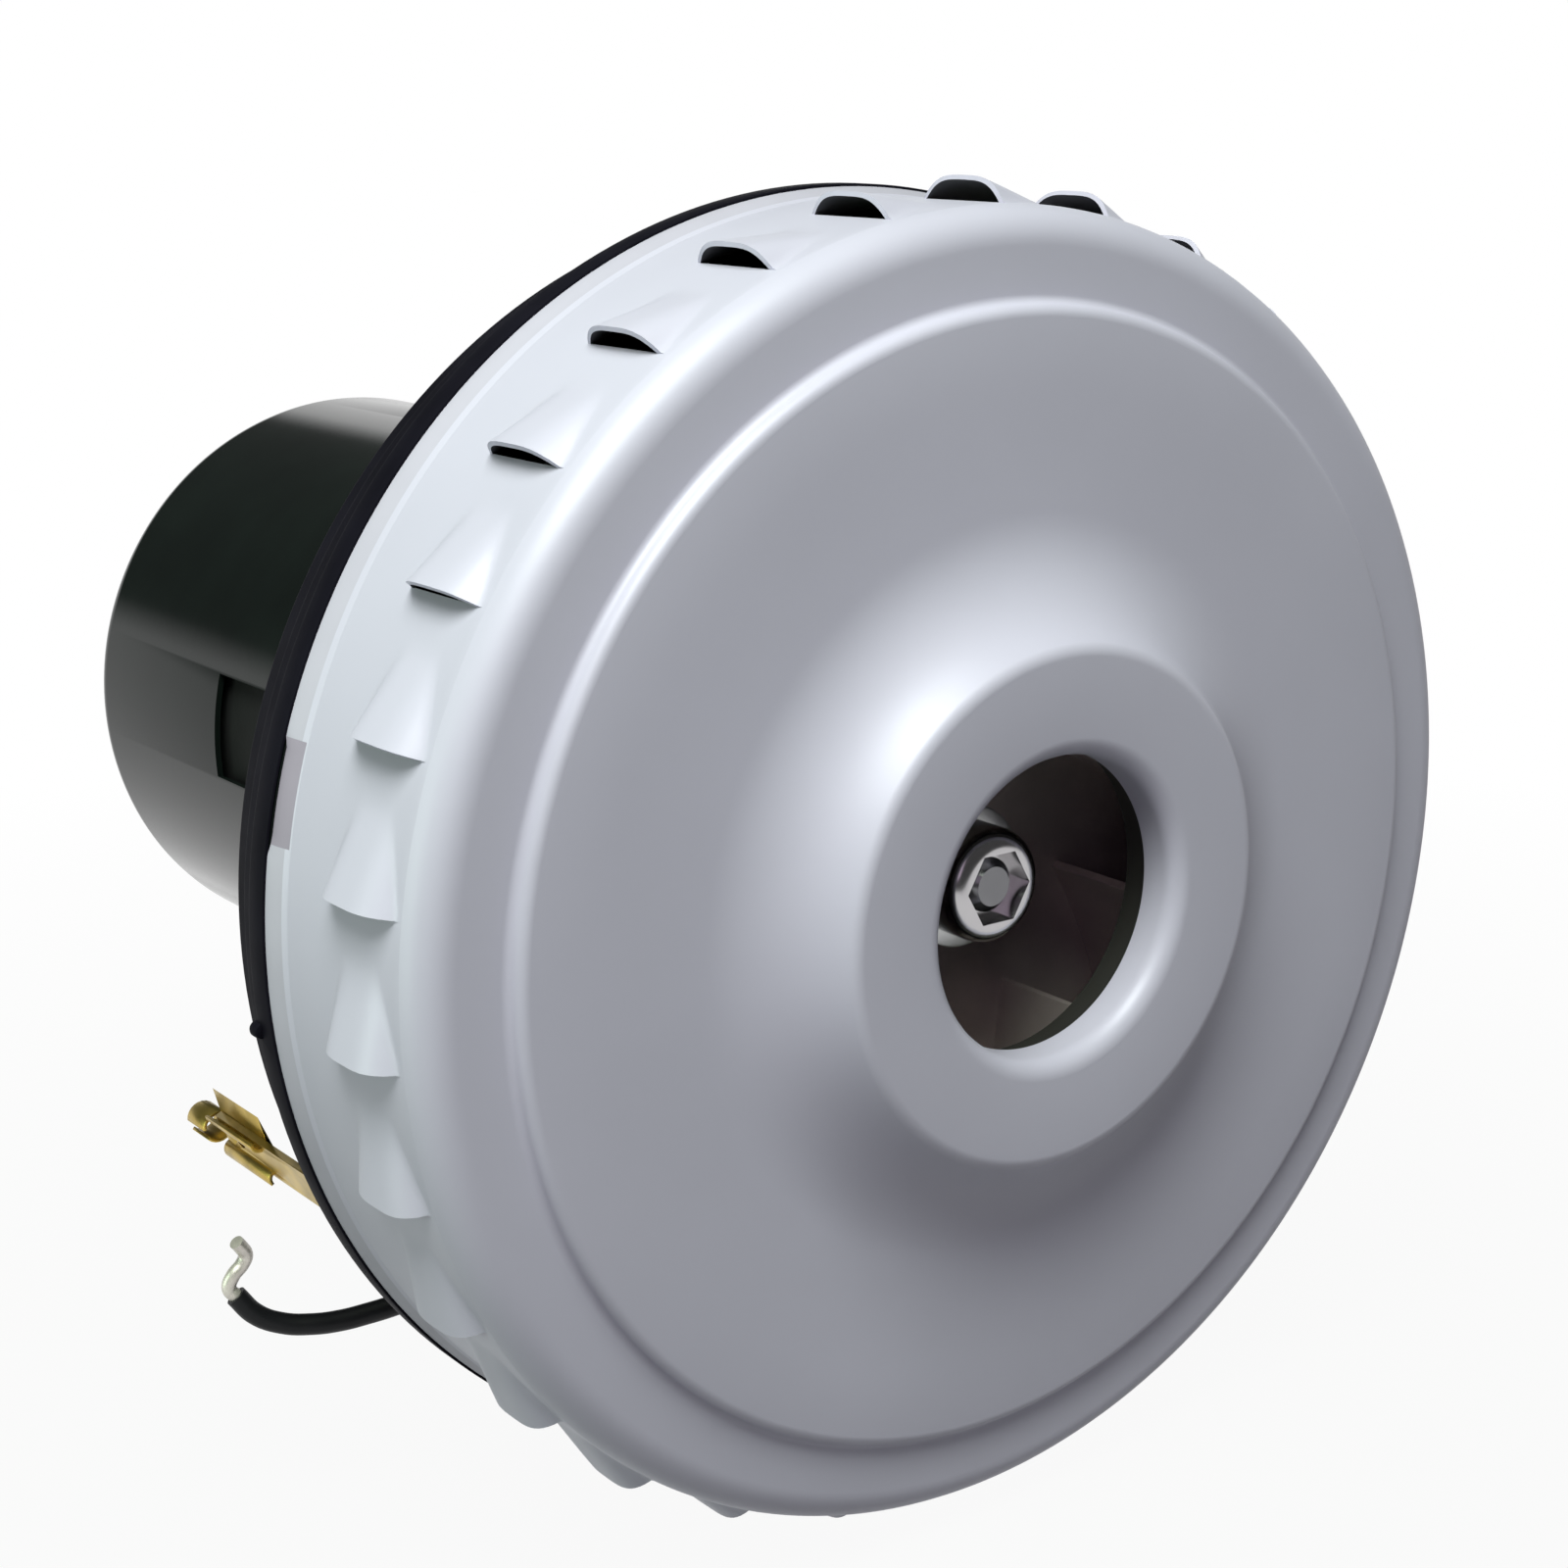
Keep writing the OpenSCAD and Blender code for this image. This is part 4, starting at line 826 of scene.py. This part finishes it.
@dataclass(frozen=True)
class FanCasing:
    """Drawn casing: flared rim, louvred wall, rounded corner, step, bell and rolled lip."""

    radius: float = 72.0
    sheet: float = 0.5
    rim_y: float = -3.0
    flare: float = 0.9
    flare_h: float = 3.0
    # The flare's outline: shares of its reach and of its height, from the rear edge
    flare_path: tuple[Flat, ...] = (
        (1.0, 0.0), (0.95, 0.13), (0.6, 0.43), (0.25, 0.73), (0.06, 0.93), (0.0, 1.0))
    # Share of the flare's height, from the rear edge, that gets the painted shade
    flare_painted_shade: float = 0.6
    corner_y: float = -27.4
    corner_r: float = 4.1
    step_r: float = 62.0
    step_run: float = 2.2
    step_h: float = 1.7
    step_edge: float = 1.3
    flat_margin: float = 8.0
    bell_r: float = 41.0
    land_r: float = 27.0
    land_h: float = 7.8
    land_edge: float = 1.8
    inlet_r: float = 16.4
    lip_r: float = 2.2
    lip_h: float = 5.0
    louvres: int = 30
    louvre_first: float = 10.6
    louvre_w: float = 12.6
    louvre_l: float = 9.6
    louvre_rise: float = 2.6
    louvre_y: float = -20.8
    louvre_tail: float = 0.45
    # Exponents of a hood's outline: how it narrows, falls and rounds off to its sides
    narrowing: float = 0.8
    falling: float = 1.2
    rounding: float = 3.6
    band_low: float = -28.0
    columns: int = 14
    rows: int = 44
    crimps: int = 3
    crimp_first: float = 77.0
    crimp_w: float = 11.5
    crimp_h: float = 3.0
    crimp_edge: float = 0.9
    crimp_depth: float = 0.35

    def build(self) -> None:
        """Make the casing."""
        nose = self._turned(self._front())
        rear = [(self.radius + self.flare * reach, self.rim_y - self.flare_h * back)
                for reach, back in self.flare_path]
        rim = self._turned(rear)
        casing = join([self._band(), nose, rim])
        weld(casing, 0.01)
        self._crimp(casing)
        for finish in ("casing_sheet", "inner_sheet", "pressed_sheet", "rim_sheet"):
            casing.data.materials.append(paint(finish))
        # Solidify gives the inner faces the next slot, the near-black painted shade inside the casing
        wall(casing, self.sheet, -1.0, material_offset=1)
        self._mark_rim(casing)
        fit(casing, "housing", "casing_sheet", "fan_casing", angle=38)

    def _front(self) -> list[Flat]:
        """Draw the corner, the step, the bell, the land and the lip.

        Returns:
            The outline as radius and Y.
        """
        face_y = self.corner_y - self.corner_r
        disc_y = face_y - self.step_h
        land_y = disc_y - self.land_h
        begin = -math.degrees(math.asin((self.corner_y - self.band_low) / self.corner_r))
        half_run = self.step_run / 2
        return (arc((self.radius - self.corner_r, self.corner_y), self.corner_r, begin, -90)
                + climb((self.step_r + half_run, face_y), (self.step_r - half_run, disc_y), self.step_edge, 5)
                + [(self.step_r - self.flat_margin, disc_y), (self.bell_r + self.flat_margin, disc_y)]
                + climb((self.bell_r, disc_y), (self.land_r, land_y), self.land_edge)
                + arc((self.inlet_r + self.lip_r, land_y + self.lip_r), self.lip_r, -90, -180)
                + [(self.inlet_r, land_y + self.lip_h)])

    def _turned(self, path: Sequence[Flat]) -> Piece:
        """Spin a stretch of the casing; it is turned from +X to the first slit, to meet the band's facets."""
        return turn(revolve(path, self.louvres * self.columns, closed=False), self.louvre_first - 90, "Y")

    def _hood(self, along: float, off: float) -> float:
        """Height of a louvre hood over the wall.

        Args:
            along: Distance clockwise from the slit.
            off: Distance from the louvre's middle line.

        Returns:
            The height.
        """
        share = max(0.0, 1 - along / self.louvre_l)
        width = self.louvre_tail + (1 - self.louvre_tail) * share ** self.narrowing
        side = 1 - min(1.0, abs(off) / (self.louvre_w / 2 * width)) ** self.rounding
        return self.louvre_rise * share ** self.falling * side

    def _band(self) -> Piece:
        """Make the louvred band of the wall.

        Returns:
            The band, open at each slit.
        """
        low, high = self.band_low, self.rim_y - self.flare_h
        pitch = 360 / self.louvres
        foot = self.radius - self.corner_r

        def place(u: float, v: float) -> Vector:
            """Put a grid point on the wall, lifted where it is part of a hood."""
            y = low + (high - low) * v
            along = u * math.radians(pitch) * self.radius
            drop = max(0.0, self.corner_y - y)
            r = foot + math.sqrt(self.corner_r ** 2 - drop ** 2) + self._hood(along, y - self.louvre_y)
            a = math.radians(self.louvre_first - u * pitch)
            return Vector((-r * math.sin(a), y, r * math.cos(a)))

        sector = grid(self.columns, self.rows, place)
        with editing(sector):
            bpy.ops.mesh.spin(steps=self.louvres - 1, dupli=True, angle=math.radians(360 - pitch),
                              center=(0, 0, 0), axis=(0, 1, 0))
        return sector

    def _crimp_share(self, place: Vector) -> float:
        """Tell how deep in a crimp a point of the rim lies.

        Args:
            place: The point in metres.

        Returns:
            1 inside a crimp, 0 outside it, and a share on its slope.
        """
        clock = math.degrees(math.atan2(-place.x, place.z)) % 360
        pitch = 360 / self.crimps
        off = min(abs((clock - self.crimp_first - pitch * k + 180) % 360 - 180) for k in range(self.crimps))
        inside = self.crimp_w / 2 - math.radians(off) * self.radius
        behind = place.y / MM - (self.rim_y - self.crimp_h)
        share = min(1.0, max(0.0, min(inside, behind) / self.crimp_edge))
        return share * share * (3 - 2 * share)

    def _crimp(self, casing: Piece) -> None:
        """Press the crimps into the rim.

        Args:
            casing: The casing before it has its thickness.
        """
        flat = self.radius + self.flare - self.crimp_depth
        for vertex in casing.data.vertices:
            share = self._crimp_share(vertex.co)
            reach = math.hypot(vertex.co.x, vertex.co.z) / MM
            if share > 0 and reach > flat:
                scale = 1 + share * (flat / reach - 1)
                vertex.co.x *= scale
                vertex.co.z *= scale

    def _mark_rim(self, casing: Piece) -> None:
        """Give the crimps a darker, more violet sheet colour, and the flared edge a darker colour as painted
        shade near the rubber ring.

        Args:
            casing: The casing.
        """
        for face in casing.data.polygons:
            flared = face.center.y / MM > self.rim_y - self.flare_h * self.flare_painted_shade
            if face.material_index == 0:
                face.material_index = 2 if self._crimp_share(face.center) > 0.5 else 3 if flared else 0


# ---------- ring and plate


@dataclass(frozen=True)
class Rim:
    """The rubber ring round the casing's rear edge and the black back plate in it."""

    gasket_r: float = 73.2
    half_w: float = 3.0
    band_y: float = 0.2
    step_r: float = 1.4
    step_h: float = 2.6
    mouth_r: float = 67.5
    ring_edge: float = 0.35
    plate_r: float = 71.15
    plate_t: float = 1.2
    shelf_w: float = 1.6
    shelf_y: float = -1.8
    gap: float = 0.05
    nub_clock: float = 97.0
    nub_r: float = 0.9
    nub_low: float = -0.7
    nub_high: float = 0.9
    nub_sink: float = 0.15
    tab_clock: float = 114.0
    notch_w: float = 6.8
    notch_r: float = 72.6
    notch_end: float = 9.4
    upstand_y: float = -12.0
    pan_step_r: float = 59.95
    pan_r: float = 49.95
    pan_y: float = 7.0
    pan_edge: float = 1.0
    boss_r: float = 11.05
    boss_lip_r: float = 8.4
    steps: int = 240

    def build(self) -> None:
        """Make the ring and the plate."""
        self._ring()
        self._plate()

    def _ring(self) -> None:
        """Make the rubber ring with its nub and its notch."""
        h, g = self.half_w, self.gasket_r
        step, second = g - self.step_r, g - 2 * self.step_r
        top, floor = h + 2 * self.step_h, self.plate_t + self.gap
        inner, shelf = self.plate_r + self.gap, self.plate_r + self.shelf_w + self.gap
        under = self.shelf_y + self.gap
        outline = [(g, -h), (g, self.band_y), (step, self.band_y), (step, h + 1), (second, h + 1),
                   (second, top), (self.mouth_r, top), (self.mouth_r, floor), (inner, floor),
                   (inner, under), (shelf, under), (shelf, -h)]
        ring = revolve(rounded(outline, self.ring_edge), self.steps)
        notch = block((self.mouth_r - 2, -self.notch_w / 2, self.plate_t),
                      (self.notch_r, self.notch_w / 2, self.notch_end))
        cut(ring, at_clock(notch, self.tab_clock))
        nub = drum(self.nub_r, self.nub_low, self.nub_high, 24, (g - self.nub_sink, 0))
        ease_edges(nub, 0.3)
        cut(ring, at_clock(nub, self.nub_clock), "UNION")
        fit(ring, "housing", "black_rubber", "rim_gasket")

    def _plate(self) -> None:
        """Make the pressed back plate."""
        edge = self.pan_edge
        step = self.plate_t + (self.pan_y - self.plate_t) / 2
        path = [(self.plate_r, self.upstand_y), (self.plate_r, self.plate_t),
                (self.pan_step_r + edge, self.plate_t), (self.pan_step_r, self.plate_t + edge),
                (self.pan_step_r - 0.6, step), (self.pan_r + edge, step), (self.pan_r, self.pan_y - edge),
                (self.pan_r - edge, self.pan_y), (self.boss_r, self.pan_y), (self.boss_r, 0),
                (self.boss_lip_r, 0)]
        plate = revolve(path, self.steps, closed=False)
        with editing(plate):
            bpy.ops.mesh.flip_normals()
        wall(plate, self.plate_t, 1.0)
        root, reach = self.plate_r - 0.3, self.plate_r + self.shelf_w
        shelf = revolve([(root, -self.half_w), (reach, -self.half_w), (reach, self.shelf_y),
                         (root, self.shelf_y)], self.steps)
        fit(join([plate, shelf]), "housing", "black_paint", "back_plate")


# ---------- motor can


@dataclass(frozen=True)
class MotorCan:
    """The gloss black can: flange, windows, grille and end dimple, with its screws."""

    radius: float = 39.5
    sheet: float = 0.8
    front_y: float = 7.0
    end_y: float = 115.5
    flange_w: float = 4.6
    flange_edge: float = 1.2
    edge_r: float = 4.0
    windows: int = 4
    window_clock: float = 85.5
    window_w: float = 13.6
    window_l: float = 41.0
    window_end: float = 77.5
    slots: int = 18
    slot_w: float = 3.2
    slot_l: float = 15.0
    slot_r: float = 24.0
    dimple_r: float = 13.0
    dimple_h: float = 1.6
    pole_r: float = 0.2
    hole_clock: float = 152.05
    hole_y: float = 14.0
    hole_r: float = 2.65
    tool_reach: float = 4.0
    screws: int = 4
    screw_r: float = 41.8
    shank_r: float = 1.3
    shank_l: float = 4.5
    head: tuple[Flat, ...] = ((0.01, 0), (2.2, 0), (2.0, 1.1), (1.2, 1.5), (0.01, 1.5))
    drive: Spot = (1.4, 0.25, 0.9)
    steps: int = 240

    def build(self) -> None:
        """Make the can and its screws."""
        r, reach = self.radius, self.tool_reach
        can = revolve(self._outline(), self.steps)
        for vertex in can.data.vertices:
            if math.hypot(vertex.co.x, vertex.co.z) < self.pole_r * 1.5 * MM:
                vertex.co.x = vertex.co.z = 0
        weld(can)
        window = block((r - reach, -self.window_w / 2, self.window_end - self.window_l),
                       (r + reach, self.window_w / 2, self.window_end))
        cut(can, around(window, self.windows, self.window_clock))
        half = (self.slot_l - self.slot_w) / 2
        ends = (arc((self.slot_r + half, 0), self.slot_w / 2, -90, 90)
                + arc((self.slot_r - half, 0), self.slot_w / 2, 90, 270))
        slot = extrude(ends, reach + 2, self.end_y - reach)
        cut(can, around(slot, self.slots))
        hole = turn(drum(self.hole_r, r - reach, r + reach, 32, (-self.hole_y, 0)), 90, "Y")
        cut(can, at_clock(hole, self.hole_clock))
        fit(can, "housing", "black_paint", "motor_can")
        self._screws()

    def _outline(self) -> list[Flat]:
        """Draw the can's sheet, outside and inside.

        Returns:
            The closed outline as radius and Y.
        """
        t, r = self.sheet, self.radius
        edge, corner = self.flange_edge, (r - self.edge_r, self.end_y - self.edge_r)
        floor, dimple = self.end_y - self.dimple_h, self.dimple_r - self.dimple_h
        return ([(r + self.flange_w, self.front_y), (r + self.flange_w, self.front_y + t)]
                + arc((r + edge, self.front_y + t + edge), edge, -90, -180, 4)
                + arc(corner, self.edge_r, 0, 90)
                + [(self.dimple_r, self.end_y), (dimple, floor), (self.pole_r, floor), (self.pole_r, floor - t),
                   (dimple - 0.3, floor - t), (self.dimple_r - 0.3, self.end_y - t)]
                + arc(corner, self.edge_r - t, 90, 0)
                + [(r - t, self.front_y)])

    def _screws(self) -> None:
        """Make the pan-head screws; the shank joins after the cuts, which need one clean solid."""
        head = turn(revolve(rounded(self.head, 0.2), 32), 90, "X")
        long, wide, deep = self.drive
        for angle in (0, 90):
            cut(head, turn(block((-long, -wide, deep), (long, wide, 2)), angle, "Z"))
        screw = join([head, drum(self.shank_r, -self.shank_l, 0.1, 24)])
        shift(screw, self.screw_r, self.front_y + self.sheet)
        fit(around(screw, self.screws), "housing", "plated_steel", "can_screws")


# ---------- terminal


@dataclass(frozen=True)
class Terminal:
    """The push-on terminal (rolled socket, neck and open crimp barrel) and the riveted tab under it."""

    clock: float = 114.0
    solid_clock: float = 117.0
    tab_r: float = 71.4
    tab_w: float = 4.8
    tab_t: float = 0.8
    play: float = 0.1
    end: float = 24.4
    socket_l: float = 11.0
    sheet: float = 0.4
    roll_r: float = 0.95
    neck_w: float = 2.6
    neck_l: float = 1.6
    neck_x: float = -1.3
    barrel_l: float = 4.2
    barrel_r: float = 1.65
    barrel_x: float = 0.3
    barrel_from: float = 1.2
    edge: float = 0.08

    def build(self) -> None:
        """Make the terminal, and turn the tab and its rivet to the terminal's clock angle."""
        half = self.tab_w / 2 + self.play
        back = -self.tab_t / 2 - self.play - self.sheet / 2
        roll = arc((back + self.roll_r, half), self.roll_r, 20, -180, 12)[::-1]
        path = [(x, -y) for x, y in roll[::-1]] + [(back, 0.0)] + roll
        socket = extrude(path, self.socket_l, self.end - self.socket_l, self.sheet)
        neck = block((self.neck_x, -self.neck_w / 2, self.end - 0.1),
                     (self.neck_x + self.sheet, self.neck_w / 2, self.end + self.neck_l))
        trough = arc((self.barrel_x, 0), self.barrel_r, 20, 340, 20)
        barrel = extrude(trough, self.barrel_l, self.end + self.barrel_from, self.sheet)
        for part in (socket, barrel):
            ease_edges(part, self.edge, angle=50)
        piece = join([socket, neck, barrel])
        shift(piece, self.tab_r + self.tab_t / 2)
        fit(at_clock(piece, self.clock), "housing", "brass_sheet", "brass_terminal", angle=40)
        for name, slot in (("earth_tab", "brass_sheet"), ("tab_rivet", "plated_steel")):
            carried = from_node(name)
            turn(carried, self.solid_clock - self.clock, "Y")
            fit(carried, "housing", slot, name, angle=50)


# ---------- wheel


@dataclass(frozen=True)
class Wheel:
    """The impeller's discs and blades, the hub, its washer and the shaft nut."""

    radius: float = 66.0
    sheet: float = 1.0
    back_y: float = -13.2
    rim_y: float = -24.2
    eye_y: float = -30.6
    collar_y: float = -37.0
    collar_r: float = 17.7
    collar_run: float = 3.0
    gap: float = 0.05
    hub_r: float = 6.5
    hub_front: float = -23.5
    foot_r: float = 16.0
    foot_h: float = 2.0
    bore_r: float = 4.02
    washer_bore_r: float = 4.05
    washer_r: float = 8.0
    washer_front: float = -25.0
    nut_r: float = 6.4
    socket_r: float = 4.4
    nut_front: float = -30.6
    nut_edge: float = 0.25
    thread_r: float = 3.0
    blades: int = 10
    blade_clock: float = 221.5
    blade_from: float = 24.0
    blade_inset: float = 0.5
    blade_sweep: float = 50.0
    blade_curve: float = 60.0
    steps: int = 144
    small_steps: int = 96

    def build(self) -> None:
        """Make each piece of the wheel."""
        bore, front = self.hub_r + self.gap, self.back_y - self.sheet
        disc = [(bore, front), (self.radius, front), (self.radius, self.back_y), (bore, self.back_y)]
        fit(revolve(rounded(disc, 0.2), self.steps), "rotor", "wheel_sheet", "impeller_back_disc")
        self._shroud()
        self._blades()
        self._hub()
        self._nut()

    def _shroud(self) -> None:
        """Make the front shroud with its eye collar."""
        outer = self.collar_r + self.sheet
        path = [(self.radius, self.rim_y), (outer + self.collar_run, self.eye_y), (outer, self.eye_y - 2),
                (outer, self.collar_y)]
        shroud = revolve(path, self.steps, closed=False)
        wall(shroud, self.sheet, -1.0)
        # The shroud takes the near-black painted shade instead of the wheel sheet
        fit(shroud, "rotor", "wheel_sheet", "impeller_front_shroud", "shroud_sheet", angle=50)

    def _blades(self) -> None:
        """Make the swept-back blades."""
        a = math.radians(self.blade_sweep)
        first = Vector((self.blade_from, 0))
        last = Vector((math.cos(a), math.sin(a))) * (self.radius - self.blade_inset)
        chord = last - first
        side = Vector((-chord.y, chord.x)).normalized()
        centre = (first + last) / 2 + side * math.sqrt(self.blade_curve ** 2 - chord.length_squared / 4)
        a0 = math.atan2(first.y - centre.y, first.x - centre.x)
        a1 = math.atan2(last.y - centre.y, last.x - centre.x)
        front = self.back_y - self.sheet
        run = self.radius - self.collar_r - self.sheet - self.collar_run

        def place(u: float, v: float) -> Vector:
            """Put a grid point on the blade, between the disc and the shroud."""
            b = a0 + (a1 - a0) * u
            x, y = centre.x + self.blade_curve * math.cos(b), centre.y + self.blade_curve * math.sin(b)
            share = min(1.0, (self.radius - math.hypot(x, y)) / run)
            top = self.rim_y + self.sheet + (self.eye_y - self.rim_y) * share + self.gap
            return Vector((x, y, front + (top - front) * v))

        blade = grid(20, 4, place)
        wall(blade, self.sheet, 0.0)
        blades = around(blade, self.blades, self.blade_clock)
        weld(blades)
        fit(blades, "rotor", "wheel_sheet", "impeller_blades")

    def _hub(self) -> None:
        """Make the hub and the washer before it."""
        foot, front, face, ring = (self.back_y + self.foot_h, self.hub_front, self.washer_front,
                                   self.washer_bore_r)
        hub = [(self.bore_r, front), (self.hub_r, front), (self.hub_r, self.back_y),
               (self.foot_r, self.back_y), (self.foot_r, foot), (self.bore_r, foot)]
        washer = [(ring, face), (self.washer_r, face), (self.washer_r, front), (ring, front)]
        for name, slot, edge, outline in (("impeller_hub", "turned_aluminium", 0.3, hub),
                                          ("nut_washer", "plated_steel", 0.25, washer)):
            fit(revolve(rounded(outline, edge), self.small_steps), "rotor", slot, name)

    def _nut(self) -> None:
        """Make the nut with its hexagon recess."""
        round_r = self.nut_r - self.socket_r
        bore = self.thread_r + self.gap
        nut = revolve([(bore, self.washer_front), (self.nut_r, self.washer_front)]
                      + arc((self.socket_r, self.nut_front + round_r), round_r, 0, -90, 10)
                      + [(bore, self.nut_front)], self.small_steps)
        socket = drum(self.socket_r, self.nut_front - 1, self.nut_front + 2, 6)
        cut(nut, at_clock(socket, 0))
        ease_edges(nut, self.nut_edge, 3, 35)
        fit(nut, "rotor", "nut_chrome", "shaft_nut", angle=40)


# ---------- brush springs


@dataclass(frozen=True)
class BrushSprings:
    """The springs behind the brushes, which shorten as the brushes move back."""

    length: float = 8.0
    end_z: float = 33.2
    travel: float = 4.0

    def build(self) -> None:
        """Make both springs from their CAD solids, each with a mesh of its own."""
        for side, sign in (("upper", 1), ("lower", -1)):
            name = f"brush_spring_{side}"
            spring = fit(from_node(name), "housing", "spring_steel", name, angle=50)
            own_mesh(spring)


# ---------- carried-over nodes


NODE_FINISHES: dict[str, str] = {
    "plated_steel": "front_bearing_retainer stator_screws stator_nuts shaft_spacer",
    "bearing_steel": "front_bearing_outer front_bearing_inner front_bearing_balls "
                     "rear_bearing_outer rear_bearing_inner rear_bearing_balls",
    "cage_steel": "front_bearing_cage rear_bearing_cage",
    "spring_steel": "bearing_spring_washer",
    "shaft_steel": "shaft",
    "dark_casting": "stator_seat_ring rear_bracket",
    "lamination": "stator_core armature_core",
    # The pole liners get the near-black painted shade seen through the windows
    "liner_nylon": "pole_liner_left pole_liner_right",
    "enamelled_copper": "field_coil_left field_coil_right armature_winding",
    "copper": "commutator",
    "phenolic": "commutator_hub holder_sleeve_upper holder_sleeve_lower",
    "brass_sheet": "brush_holder_upper brush_holder_lower",
    "carbon": "brush_upper brush_lower",
    "fan_nylon": "cooling_fan",
    "black_rubber": "lead_grommet",
}


def dress_nodes() -> None:
    """Give each carried-over node its finish."""
    for finish, names in NODE_FINISHES.items():
        for name in names.split():
            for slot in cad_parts[name].material_slots:
                slot.material = paint(finish)
            LOG.info("%s: CAD node in %s", name, finish)


def main() -> None:
    """Build the stage, the cord and each sub-assembly in order."""
    logging.basicConfig(level=logging.INFO, format="%(name)s: %(message)s")
    PhotoCamera().build()
    Lead().build()
    Studio().build()
    FanCasing().build()
    Rim().build()
    MotorCan().build()
    Terminal().build()
    Wheel().build()
    BrushSprings().build()
    dress_nodes()


if __name__ == "__main__":
    main()
